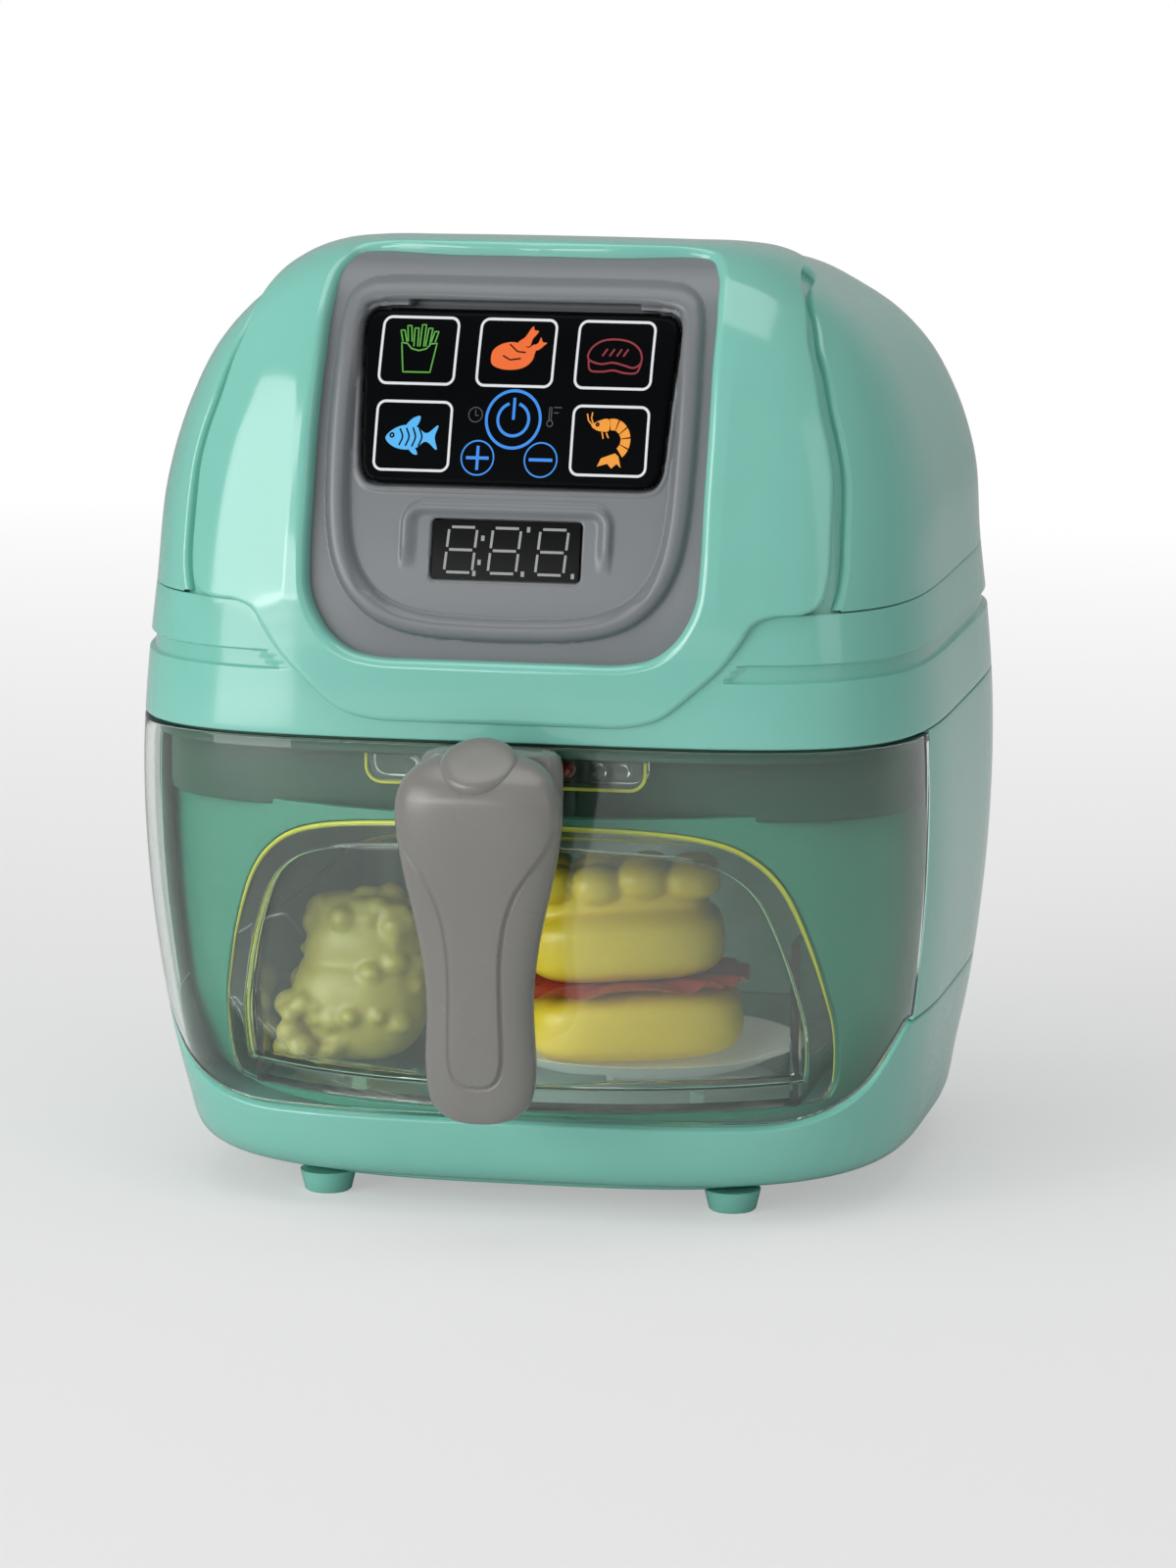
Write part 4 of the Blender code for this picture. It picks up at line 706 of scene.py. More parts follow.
def prism(name: str, outline: Array, near: float, far: float) -> Piece:
    """A cutter with an outline from the front view, between two depths."""
    shape = bmesh.new()
    rings = [[shape.verts.new((x, y, z)) for x, z in outline[:-1]] for y in (near, far)]
    shape.faces.new(rings[0])
    shape.faces.new(rings[1][::-1])
    for k in range(len(rings[0])):
        shape.faces.new((rings[0][k - 1], rings[0][k], rings[1][k], rings[1][k - 1]))
    bmesh.ops.remove_doubles(shape, verts=shape.verts, dist=0.01 * MM)
    bmesh.ops.recalc_face_normals(shape, faces=shape.faces)
    return cutter(name, shape)


def carve(piece: Piece, cutters: Sequence[Piece]) -> None:
    """Cut temporary objects out of a piece, keep the result and remove them."""
    for tool in cutters:
        modifier = piece.modifiers.new("cut", "BOOLEAN")
        modifier.object = tool
        modifier.operation = "DIFFERENCE"
        modifier.solver = "EXACT"
    shade(baked(piece), SHARP_DEGREES)
    for tool in cutters:
        bpy.data.objects.remove(tool, do_unlink=True)


@dataclass
class Shells:
    """The mint housing: base, rear shell with its bulkhead, collar, dome and hood."""

    form: HousingForm
    wall: float = 2.6 * MM
    base_wall: float = 2.4 * MM
    collar_wall: float = 5.0 * MM
    dome_wall: float = 4.2 * MM
    hood_wall: float = 7.0 * MM
    seam: float = 0.3 * MM
    edge: float = 0.6 * MM
    split: float = 45.6 * MM
    base_low: float = 7.0 * MM
    base_top: float = 27.8 * MM
    base_rise: float = 26.0 * MM
    rear_top: float = 136.0 * MM
    ceiling_low: float = 132.0 * MM
    ceiling_top: float = 135.7 * MM
    collar_low: float = 136.3 * MM
    collar_top: float = 172.7 * MM
    dome_low: float = 173.0 * MM
    knob_travel: float = 8.0 * MM
    groove: float = 1.5 * MM
    channel: float = 6.0 * MM
    bed: float = 2.4 * MM
    bed_wall: float = 1.6 * MM
    hood_lift: float = 2.6 * MM
    chin_lift: float = 1.6 * MM
    hood_back: float = 92.8 * MM

    def widest(self, turns: Array) -> Array:
        """Places round the widest section."""
        return self.form.on(self.form.level(turns, 0.4 * self.form.height))

    def plan_turns(self, start: float, end: float, count: int) -> Array:
        """Turns from start to end, evenly spaced along the widest section."""
        dense = np.linspace(start, end, 3000)
        run = run_along(self.widest(dense))
        return np.interp(np.linspace(0, run[-1], count), run, dense)

    def round_turns(self, count: int) -> Array:
        """Turns once round, from the front."""
        return self.plan_turns(-QUARTER, 1.5 * math.pi, count)[:-1]

    def split_turn(self, inset: float) -> float:
        """Turn at which the widest section passes a depth on the right side."""
        dense = np.linspace(-QUARTER, 0, 4000)
        return float(np.interp(self.form.front + inset, self.widest(dense)[:, 1], dense))

    def lip(self, turns: Array, shift: float) -> Array:
        """Line where the drawer and the rear shell meet the base, shifted up."""
        half = self.form.rows[:, 1].max()
        shares = ((0.0, 0.0), (0.50, 0.0), (0.654, 0.012), (0.707, 0.046), (0.760, 0.108), (0.813, 0.215),
                  (0.857, 0.370), (0.892, 0.585), (0.925, 0.85), (0.94, 0.97), (0.96, 1.0), (1.02, 1.0))
        line = through(np.array([(w * half, self.base_top + self.base_rise * h) for w, h in shares]), 400)
        run = self.form.run_at(np.full(turns.shape, self.base_top + shift))
        for _ in range(12):
            x = np.abs(self.form.base_point(turns, run)[..., 0])
            run = self.form.run_at(np.interp(x, line[:, 0], line[:, 1]) + shift)
        return np.column_stack((turns, run))

    def build(self) -> None:
        """Build and dress the housing's shells."""
        self.build_base()
        self.build_rear()
        self.build_collar()
        self.build_dome()
        self.build_hood()

    def build_base(self) -> None:
        """Base tray: a wall with a chamfered foot under the lip line, and its underside."""
        turns = self.round_turns(361)
        levels = np.concatenate((np.linspace(0, 0.55, 10), np.linspace(0.6, 1, 14)))
        base = shell("base_wall", self.form, self.lip(turns, 0.0), self.form.level(turns, self.base_low),
                     self.base_wall, 0.8 * MM, levels)
        settle(base, MINT, Body.HOUSING, "base_tray")
        self.build_underside()
        self.build_feet()

    def build_underside(self) -> None:
        """Flat underside with the battery lid's recess, the screw wells and the speaker holes."""
        ring = self.form.on(self.form.level(self.round_turns(181), 7.4 * MM))
        low, high, centre, reach = 6.3 * MM, 8.7 * MM, 16.5 * MM, 0.078
        points = []
        for level, inset in ((low, 1.2), (low + 0.5 * MM, 0.6), (high, 0.6)):
            share = 1 - inset * MM / reach
            points += [(x * share, (y - centre) * share + centre, level) for x, y, _ in ring]
        floor = mesh_piece("base_floor", points, capped_faces(3, len(ring)))
        lid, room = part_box("battery_cover"), Vector((0.3, 0.3, 5)) * MM
        cuts = [block("lid_cut", lid[0] - room, lid[1] + room)]
        cuts += [drum("screw_cut", middle_of(f"base_screw_{k}"), 3.3 * MM, 30 * MM) for k in range(1, 5)]
        for radius, count in ((0.0, 1), (8 * MM, 6), (14 * MM, 12)):
            for step in range(count):
                a = math.tau * step / count
                spot = middle_of("speaker") + Vector((radius * math.cos(a), radius * math.sin(a), 0))
                cuts.append(drum("sound_cut", spot, 1.5 * MM, 40 * MM))
        carve(floor, cuts)
        settle(floor, MINT, Body.HOUSING)

    def build_feet(self) -> None:
        """Four turned feet with a rounded sole."""
        for node in ("foot_front_left", "foot_front_right", "foot_back_left", "foot_back_right"):
            middle, top = middle_of(node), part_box(node)[1].z
            middle.z = 0
            side = [(0, 0.4), (4.0, 0.4), (4.4, 0.0), (6.0, 0.0), (6.6, 0.5), (7.6, 4.6)]
            profile = [(r * MM, h * MM) for r, h in side] + [(7.9 * MM, top), (0, top)]
            settle(lathe(f"{node}_turned", profile, middle), MINT, Body.HOUSING, node)

    def build_rear(self) -> None:
        """Rear shell and the rounded bulkhead that the clear front shows."""
        start = self.split_turn(self.split)
        turns = self.plan_turns(start, math.pi - start, 260)
        rear = shell("rear_wall", self.form, self.lip(turns, 2 * self.seam),
                     self.form.level(turns, self.rear_top), self.wall, 0.5 * MM, 36, closed=False)
        settle(rear, MINT, Body.HOUSING, "rear_shell")
        inner = inner_form(4.0 * MM)
        rim = np.array([(0, 28.9), (70, 29.6), (92, 34.5), (103, 48), (107.5, 62), (109.5, 80), (109.8, 100),
                        (109.5, 113), (106, 115.2), (70, 115.3), (0, 115.3)]) * MM
        panel = shell("bulkhead", inner, front_loop(inner, arch_half(0.8 * MM), 90),
                      front_loop(inner, through(rim, 60), 90), 2.4 * MM, 0.7 * MM, 12)
        # The bulkhead takes the darker mint: painted shade behind the clear front
        settle(panel, PAINTED_SHADE_MINT, Body.HOUSING)
        self.build_ceiling()

    def build_ceiling(self) -> None:
        """Ceiling plate with its skirt behind the lamps."""
        inside = HousingForm(front_add=16.3 * MM, side_add=-3.6 * MM)
        x = 107.5 * MM * np.sin(np.linspace(-QUARTER, QUARTER, 140))
        low, high = (join_tracks(inside.on_front(x, np.full(x.shape, z * MM))) for z in (113.6, 134.0))
        # Skirt and ceiling plate both take the darkest mint: painted shadow under the collar
        skirt = shell("ceiling_skirt", inside, low, high, 2.0 * MM, 0.6 * MM, 10, closed=False)
        settle(skirt, PAINTED_SHADOW_MINT, Body.HOUSING)
        line = self.form.level(self.round_turns(181), 133.8 * MM)
        ring = self.form.point(line[:, 0], line[:, 1], -3.6 * MM)
        points = [(x, y, z) for z in (self.ceiling_low, self.ceiling_top) for x, y, _ in ring]
        plate = mesh_piece("ceiling_plate", points, capped_faces(2, len(ring)))
        settle(plate, PAINTED_SHADOW_MINT, Body.HOUSING, "ceiling")

    def build_collar(self) -> None:
        """Collar band with its recessed side grooves, and the slot of the power switch."""
        def grooves(turn: Array, run: Array) -> Array:
            """Sink the band's groove, which fades where the chin's slope begins."""
            spot = self.form.base_point(turn, run)
            z, x = spot[..., 2], np.abs(spot[..., 0])
            across = ease(z, 154.0 * MM, 154.6 * MM) * (1 - ease(z, 158.8 * MM, 159.4 * MM))
            fade = 61.5 * MM + (z - 154.5 * MM)
            along = np.where(spot[..., 1] < 0, ease(x - fade, 0.0, 1.6 * MM), 1.0)
            return -self.groove * across * along

        turns = self.round_turns(421)
        levels = np.concatenate([np.linspace(*span) for span in (
            (0, 0.44, 12), (0.46, 0.53, 16), (0.54, 0.60, 6), (0.61, 0.68, 16), (0.70, 1, 9))])
        collar = shell("collar_band", self.form, self.form.level(turns, self.collar_low),
                       self.form.level(turns, self.collar_top), self.collar_wall, self.edge, levels, grooves)
        low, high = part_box("power_knob")
        slot = block("slot_cut", low - Vector((0.3, 3, 0.3)) * MM,
                     high + Vector((0.3 + self.knob_travel / MM, 5, 0.3)) * MM)
        window = prism("window_cut", self.window_outline(1.5 * MM), self.form.front - 10 * MM,
                       self.form.front + 30 * MM)
        carve(collar, [slot, window])
        settle(collar, MINT, Body.HOUSING, "collar")

    def hood_half(self, extra: float = 0.0) -> Array:
        """Right half of the hood's edge, bottom to top, moved out over the form by extra."""
        front = [(0.01, 141.3), (20, 141.3), (36, 141.7), (45, 144.2), (53, 150.6), (61, 157.9), (66, 164.5),
                 (70, 170.5), (76, 172.4), (82, 172.6), (86.6, 175.2), (88.3, 181.5), (88.4, 195),
                 (87.8, 208.6), (86.0, 217), (83.7, 224.6), (80.8, 235), (77.8, 243)]
        top = [(75.0, 46.0), (72.3, 54), (70.4, 63), (69.0, 74), (67.6, 84), (65.4, 89.6), (60.5, 92.0),
               (40, 92.6), (20, 92.8), (0.01, 92.8)]
        half = smooth_half(join_tracks(self.form.on_front(*(np.array(front).T * MM)),
                                       self.form.on_top(*(np.array(top).T * MM))))
        if extra:
            spot, reach = self.form.on(half), 20
            side = unit(np.cross(np.gradient(spot, axis=0), self.form.normal(half[:, 0], half[:, 1])))
            soft = np.hanning(2 * reach + 1)[:, None] / np.hanning(2 * reach + 1).sum()
            padded = np.pad(side, ((reach, reach), (0, 0)), "edge")
            side = np.array([(padded[k:k + len(soft)] * soft).sum(axis=0) for k in range(len(side))])
            half = np.column_stack(self.form.nearest(spot + side * extra, half[:, 0], half[:, 1]))
        x, y, _ = self.form.on(half).T
        inset = y - self.form.front
        back = (inset > 80 * MM) & (x < 58 * MM)
        share = 1 - ease(x[back], 44 * MM, 58 * MM)
        straight = inset[back] * (1 - share) + (self.hood_back + extra) * share
        half[back] = join_tracks(self.form.on_top(x[back], straight))
        half[0, 0] = half[-1, 0] = -QUARTER
        return half

    def window_half(self, grow: float = 0.0) -> Array:
        """Right half of the window's edge, bottom to top, moved out by grow."""
        g = grow / MM
        h = g / 2
        line = [(0.01, 158.3 - g), (20, 158.3 - g), (34, 158.5 - g), (42 + h, 160.3 - g), (48 + g, 164.6 - g),
                (52 + g, 170.5), (54.1 + g, 176.5), (54.7 + g, 184), (54.8 + g, 205), (54.6 + g, 230),
                (54.2 + g, 246), (53.4 + g, 255), (51.8 + h, 260.6 + h), (48.5, 263.6 + h), (42, 264.6 + h),
                (20, 264.9 + h), (0.01, 264.9 + h)]
        return smooth_half(join_tracks(self.form.on_front(*(np.array(line).T * MM))))

    def window_outline(self, grow: float = 0.0) -> Array:
        """The window's outline in the front view, moved out by grow."""
        return mirrored(self.form.on(self.window_half(grow)[::3])[:, (0, 2)])

    def matched(self, inner: Array, outer: Array, count: int = 260) -> list[Array]:
        """Whole loops from two halves, matched by their bearing from the window's middle."""
        middle = float(self.form.run_at(214 * MM))
        bearings = [np.maximum.accumulate(np.arctan2(self.form.on(half)[:, 0], middle - half[:, 1]))
                    for half in (inner, outer)]
        picks = np.interp(np.linspace(0, 1, count), np.linspace(0, 1, len(outer)), bearings[1])
        return [whole_loop(read_off(half, marks, picks)) for half, marks in zip((inner, outer), bearings)]

    def build_dome(self) -> None:
        """Dome round the back, rolled down into the channel along the hood, and the channel's bed."""
        half, count, radius = self.hood_half(self.channel), 210, 1.6 * MM
        spot = self.form.on(half)
        first = int(np.argmax((spot[:, 2] >= 173.2 * MM) & (spot[:, 0] > 80 * MM)))
        run = run_along(spot[first:])
        edge = read_off(half[first:], run, np.linspace(0, run[-1], count))
        low = self.form.on(self.form.level(self.plan_turns(edge[0, 0], QUARTER, count), self.dome_low))
        high = self.form.on(edge)
        skin = np.stack([self.snap(high * (1 - t) + low * t) for t in np.linspace(0, 1, 40)])
        skin[0], skin[-1] = high, low
        skin = np.concatenate((skin, skin[:, -2::-1] * np.array([-1, 1, 1])), axis=1)
        up = unit(np.cross(np.gradient(skin, axis=0), np.gradient(skin, axis=1)))
        roll = rolled(skin[0], unit(skin[0] - skin[1]), up[0], radius, self.bed - radius + 0.5 * MM)
        loop = np.concatenate((roll, skin, (skin - up * self.dome_wall)[::-3]))
        piece = mesh_piece("dome_shell", loop.reshape(-1, 3), grid_faces(*loop.shape[:2], True), 50.0)
        settle(piece, MINT, Body.HOUSING, "dome")
        near, far = self.matched(self.window_half(6 * MM), self.hood_half(self.channel + 1.5 * MM))
        keep = self.form.on(far)[:, 2] > 168 * MM
        bed = shell("dome_bed", self.form, near[keep], far[keep], self.bed_wall, 0.4 * MM, 12, -self.bed,
                    closed=False)
        settle(bed, MINT, Body.HOUSING)
        self.build_back_bed()

    def build_back_bed(self) -> None:
        """The channel's bed behind the hood, where the housing is nearly flat."""
        x, inset = np.meshgrid(np.linspace(-66, 66, 67) * MM, np.linspace(87, 107, 21) * MM)
        spot = self.form.base_point(*self.form.on_top(np.abs(x) + 0.01 * MM, inset))
        top = np.stack((x, spot[..., 1], spot[..., 2] - self.bed), axis=-1)
        sheet = np.concatenate((top, (top - np.array((0, 0, self.bed_wall)))[::-1]))
        bed = mesh_piece("dome_bed_back", sheet.reshape(-1, 3), grid_faces(*sheet.shape[:2], True), 50.0)
        settle(bed, MINT, Body.HOUSING)

    def snap(self, places: Array) -> Array:
        """Move places near the form onto it, away from the middle of the housing."""
        heart = np.array((0.0, self.form.front + self.form.depth / 2, 170 * MM))
        ray = unit(places - heart)
        flat = np.linalg.norm(ray[..., :2], axis=-1)
        turn = np.arctan2(places[..., 1] - heart[1], places[..., 0])

        def above(run: Array) -> Array:
            """Whether the form at a run lies above the ray."""
            there = self.form.base_point(turn, run) - heart
            return there[..., 2] * flat > ray[..., 2] * np.linalg.norm(there[..., :2], axis=-1)

        low, high = (np.full(turn.shape, float(v)) for v in (self.form.run_at(100 * MM), self.form.knots[-1]))
        return self.form.base_point(turn, halve(low, high, 34, above))

    def build_hood(self) -> None:
        """Raised hood with its chin, rolled down into the channel and toward the panel."""
        def raised(turn: Array, run: Array) -> Array:
            """Hood over the dome, lower on the chin, with a faint crease beside the window."""
            spot = self.form.base_point(turn, run)
            z, x = spot[..., 2], np.abs(spot[..., 0])
            rise = self.chin_lift + (self.hood_lift - self.chin_lift) * ease(z, 160 * MM, 176 * MM)
            crease = 0.9 * MM * np.tanh(np.clip(x - 60 * MM, 0, 1) / (7 * MM))
            return rise - crease * ease(z, 168 * MM, 180 * MM) * (1 - ease(z, 225 * MM, 250 * MM))

        near, far = self.matched(self.window_half(), self.hood_half())
        levels = np.concatenate((np.linspace(0, 0.22, 12), np.linspace(0.24, 1, 24)))
        hood = shell("hood_frame", self.form, near, far, self.hood_wall, (2.6 * MM, 1.5 * MM), levels, raised)
        settle(hood, MINT, Body.HOUSING, "hood")


def inner_form(inset: float) -> HousingForm:
    """The much rounder form that the bulkhead and the tub's front share."""
    return HousingForm(front_add=inset, side_add=6.0 * MM, power=2.2)


def arch_half(grow: float = 0.0) -> Array:
    """Right half of the tub's arch in the front view, bottom to top, moved out by grow."""
    places = [(0.01, 31.6), (40, 31.6), (70, 31.6), (80, 31.8), (83.4, 32.6), (85.1, 35), (86.0, 39),
              (86.5, 44.6), (86.4, 53.5), (84.4, 64.8), (81.4, 77.0), (76.9, 89.9), (73.9, 95.7),
              (70.1, 100.5), (63.6, 105.6), (54.6, 109.0), (40, 111.3), (20, 112.4), (0.01, 112.7)]
    line = through(np.array(places) * MM, 220)
    ahead = unit(np.gradient(line, axis=0))
    line = line + grow * np.column_stack((ahead[:, 1], -ahead[:, 0]))
    line[0, 0] = line[-1, 0] = 0.01 * MM
    return line


def front_loop(form: HousingForm, half: Array, count: int) -> Array:
    """Lay a half outline from the front view on a form as a whole loop."""
    even = through(half[::4], count)
    even[0, 0] = even[-1, 0] = 0.0
    return whole_loop(join_tracks(form.on_front(even[:, 0], even[:, 1])))


@dataclass
class Drawer:
    """The clear drawer: front, tub with its lit edge, handle and neck."""

    shells: Shells
    wall: float = 2.4 * MM
    split: float = 45.0 * MM
    lip_gap: float = 1.6 * MM
    top: float = 135.5 * MM
    face_inset: float = 2.9 * MM
    tub_bottom: float = 31.6 * MM
    tub_wall: float = 2.2 * MM
    tub_half: float = 77.0 * MM
    tub_back: float = 172.0 * MM
    tub_height: float = 46.0 * MM
    tub_corner: float = 24.0 * MM
    grip_bottom: float = 35.5 * MM
    grip_height: float = 104.0 * MM
    grip_half: float = 22.8 * MM
    grip_thick: float = 18.0 * MM
    grip_reach: float = 32.2 * MM
    tongue_rise: float = 0.8 * MM
    neck_half: float = 19.5 * MM

    def build(self) -> None:
        """Build and dress the drawer."""
        form = inner_form(self.face_inset)
        self.build_front()
        outer, inner = (front_loop(form, arch_half(grow), 110) for grow in (0.0, -6.5 * MM))
        band = shell("tub_arch_band", form, inner, outer, self.tub_wall, 0.5 * MM, 6)
        settle(band, CLEAR, Body.DRAWER, "drawer_tub")
        self.build_pane(form)
        self.build_rim("tub_arch_lit_rim", form, outer, -0.9 * MM, 0.72 * MM, PAINTED_GLOW_EDGE)
        self.build_rim("tub_pane_step_rim", form, inner, -1.6 * MM, 0.28 * MM, PAINTED_GLOW_STEP)
        self.build_tray(form)
        self.build_grip()
        self.build_thumb_pad()
        self.build_neck()

    def build_front(self) -> None:
        """Clear front that wraps both corners."""
        start = self.shells.split_turn(self.split)
        turns = self.shells.plan_turns(-math.pi - start, start, 260)
        front = shell("clear_front", self.shells.form, self.shells.lip(turns, self.lip_gap),
                      self.shells.form.level(turns, self.top), self.wall, 0.7 * MM, 34, closed=False)
        settle(front, CLEAR_FRONT, Body.DRAWER, "drawer_front")

    @staticmethod
    def build_rim(name: str, form: HousingForm, loop: Array, lift: float, radius: float,
                  finish: Finish) -> None:
        """Lit edge along the upper part of the tub's face, a painted glow, thinner toward its foot."""
        path = form.point(loop[:, 0], loop[:, 1], lift)
        path = path[path[:, 2] > 37 * MM]
        width = radius * (0.45 + 0.55 * ease(path[:, 2], 45 * MM, 95 * MM))
        settle(tube(name, path, width), finish, Body.DRAWER)

    @staticmethod
    def build_pane(form: HousingForm) -> None:
        """Sunk pane inside the arch, made row by row."""
        half = arch_half(-5.9 * MM)
        heights = np.linspace(half[:, 1].min() + 0.2 * MM, half[:, 1].max() - 0.3 * MM, 34)
        widths = np.interp(heights, np.maximum.accumulate(half[:, 1]), half[:, 0])
        x = np.linspace(-1, 1, 61)[None, :] * widths[:, None]
        track = form.on_front(x, np.repeat(heights[:, None], x.shape[1], axis=1))
        points = np.concatenate([form.point(*track, lift * MM).reshape(-1, 3) for lift in (-2.5, -4.4)])
        settle(mesh_piece("tub_pane", points, sheet_faces(*x.shape)), CLEAR, Body.DRAWER)

    def build_tray(self, form: HousingForm) -> None:
        """Side walls and floor of the tub behind the arched face."""
        front = self.shells.form.front

        def plan(inset: float) -> Array:
            """Plan line of the tub's wall from the front right round to the front left."""
            half, corner = self.tub_half - inset, self.tub_corner - inset
            back = front + self.tub_back - inset
            start = float(form.depth_at(np.array([half]), np.array([60 * MM]))[0]) + 6 * MM
            right = [(half, start + (back - corner - start) * k / 10) for k in range(10)]
            right += [(half - corner + corner * math.cos(a), back - corner + corner * math.sin(a))
                      for a in np.linspace(0, QUARTER, 14)]
            return np.array(right + [(-x, y) for x, y in reversed(right)])

        outside, inside = plan(0.0), plan(self.tub_wall)
        low, top, floor = self.tub_bottom, self.tub_bottom + self.tub_height, self.tub_bottom + self.tub_wall
        levels = ((outside, low), (outside, top - 0.6 * MM), (outside, top), (inside, top), (inside, floor),
                  (inside, low))
        points = [(x, y, z) for line, z in levels for x, y in line]
        settle(mesh_piece("tub_wall", points, swept_faces(len(levels), len(outside))), CLEAR, Body.DRAWER)
        xs = np.linspace(inside[0][0], inside[-1][0], 41)
        ys = form.depth_at(np.abs(xs), np.full(xs.shape, 33.5 * MM)) + 3.2 * MM
        line = list(zip(xs[::-1], ys[::-1])) + [tuple(p) for p in inside[2:-2]]
        points = [(x, y, z) for z in (low, floor) for x, y in line]
        settle(mesh_piece("tub_floor", points, capped_faces(2, len(line))), CLEAR, Body.DRAWER)
        rim = np.array([(x, y, top + 0.1 * MM) for x, y in (outside + inside) / 2])
        # Painted glow along the top edge of the tub's wall
        settle(tube("tub_wall_lit_rim", rim, 0.55 * MM), PAINTED_GLOW_EDGE, Body.DRAWER)

    def build_grip(self) -> None:
        """Handle grip: a long soft loft with a raised tongue and a flat leaning top."""
        bottom, height, half, thick = self.grip_bottom, self.grip_height, self.grip_half, self.grip_thick
        front, power = self.shells.form.front - self.grip_reach, 2 / 2.7
        rows = np.array([  # share of height, half width, front and rear depth
            (0.0, 0.05, 0.56, 0.70), (0.004, 0.24, 0.38, 0.88), (0.016, 0.42, 0.31, 0.95),
            (0.045, 0.57, 0.26, 0.985), (0.09, 0.64, 0.23, 1.0), (0.16, 0.665, 0.205, 1.0),
            (0.24, 0.65, 0.18, 0.99), (0.30, 0.64, 0.165, 0.98), (0.38, 0.655, 0.14, 0.96),
            (0.475, 0.715, 0.11, 0.94), (0.57, 0.805, 0.08, 0.93), (0.67, 0.91, 0.04, 0.93),
            (0.78, 0.99, 0.0, 0.94), (0.85, 1.0, 0.0, 0.95), (0.885, 0.955, 0.03, 0.95),
            (0.915, 0.895, 0.10, 0.95), (0.94, 0.78, 0.25, 0.95), (0.958, 0.64, 0.42, 0.95),
            (0.969, 0.45, 0.58, 0.90), (0.9715, 0.05, 0.70, 0.78)])
        up, wide, near, far = through(rows * np.array([height, half, thick, thick]), 300).T[..., None]
        dense = np.linspace(0, math.tau, 4001)
        reach = run_along(np.column_stack((half * 0.8 * bent(np.cos(dense), power),
                                           thick / 2 * bent(np.sin(dense), power))))
        turns = np.interp(np.linspace(0, reach[-1], 260, endpoint=False), reach, dense)
        c, s = np.cos(turns), np.sin(turns)
        x = wide * bent(c, power)
        y = front + (near + far) / 2 + (far - near) / 2 * bent(s, power)
        z = np.repeat(bottom + up, len(turns), axis=1)
        tongue = np.array([(0.0, 0.108), (3.4, 0.112), (5.6, 0.13), (6.7, 0.165), (6.9, 0.21), (6.7, 0.30),
                           (6.6, 0.40), (7.1, 0.48), (8.6, 0.56), (11.4, 0.63), (15.2, 0.685), (18.6, 0.73),
                           (21.6, 0.79), (24.5, 0.85), (26, 1.3)])
        outline = mirrored(through(tongue * np.array([MM, height]) + np.array([0, bottom]), 90))
        inside = -signed_distance(x, z, outline)
        face = ease(-s[None, :] * np.ones_like(x), 0.15, 0.45)
        face = face * (1 - ease(z, bottom + 0.86 * height, bottom + 0.93 * height))
        y = y - self.tongue_rise * ease(inside, -0.25 * MM, 0.35 * MM) * face
        y = y + 0.35 * MM * np.exp(-((inside + 0.55 * MM) / (0.4 * MM)) ** 2) * face
        points = np.stack((x, y, z), axis=-1).reshape(-1, 3)
        grip = mesh_piece("grip_body", points, capped_faces(*x.shape), 70.0)
        settle(grip, HANDLE, Body.DRAWER, "handle_grip")

    def build_thumb_pad(self) -> None:
        """Flat round pad that leans on the top of the grip."""
        radius, rise, power, lean = 10.8 * MM, 4.2 * MM, 0.45, 0.55
        side = [(radius * max(math.cos(a), 0.0) ** power, rise * float(bent(math.sin(a), power)))
                for a in np.linspace(-QUARTER, QUARTER, 49)]
        pad = lathe("thumb_boss", side, Vector((0, 0, 0)), sides=72)
        spot = (0, self.shells.form.front - self.grip_reach + 9.6 * MM,
                self.grip_bottom + self.grip_height - 6.9 * MM)
        pad.data.transform(Matrix.Translation(spot) @ Matrix.Rotation(lean, 4, "X"))
        settle(pad, HANDLE, Body.DRAWER)

    def build_neck(self) -> None:
        """Neck between the clear front and the grip."""
        low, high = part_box("handle_neck")
        turns = np.linspace(0, math.tau, 96, endpoint=False)
        power, deep = 0.6, (high.y - low.y) / 2
        y = (low.y + high.y) / 2 + deep * bent(np.sin(turns), power)
        rows = ((0.0, 0.70), (0.02, 0.86), (0.08, 0.95), (0.2, 0.99), (0.5, 1.0), (0.8, 0.995),
                (0.93, 0.96), (0.985, 0.88), (1.0, 0.74))
        points = []
        for share, wide in rows:
            x = self.neck_half * wide * bent(np.cos(turns), power)
            points.append(np.column_stack((x, y, np.full(x.shape, low.z + (high.z - low.z) * share))))
        neck = mesh_piece("neck_body", np.concatenate(points), capped_faces(len(rows), len(turns)))
        settle(neck, HANDLE, Body.DRAWER, "handle_neck")


def merged(parts: Sequence[tuple[Array, Faces]]) -> tuple[Array, Faces]:
    """Join the points and the faces of several parts."""
    faces: Faces = []
    first = 0
    for points, own in parts:
        faces += [[first + i for i in f] for f in own]
        first += len(points)
    return np.concatenate([points for points, _ in parts]), faces


def moved(places: Line, x: float, z: float) -> Line:
    """Places moved in the front view."""
    return [(x + p, z + q) for p, q in places]


def smooth(places: Line, x: float = 0.0, z: float = 0.0, count: int = 64, closed: bool = True) -> Line:
    """Smooth line through places, moved in the front view."""
    return moved(through(np.array(places), count, closed), x, z)


def circle(x: float, z: float, radius: float, start: float = 0.0, end: float = 360.0) -> Line:
    """Circle or part of one round a middle, in degrees."""
    turns = np.radians(np.linspace(start, end, 49))
    return [(x + radius * math.cos(a), z + radius * math.sin(a)) for a in turns]


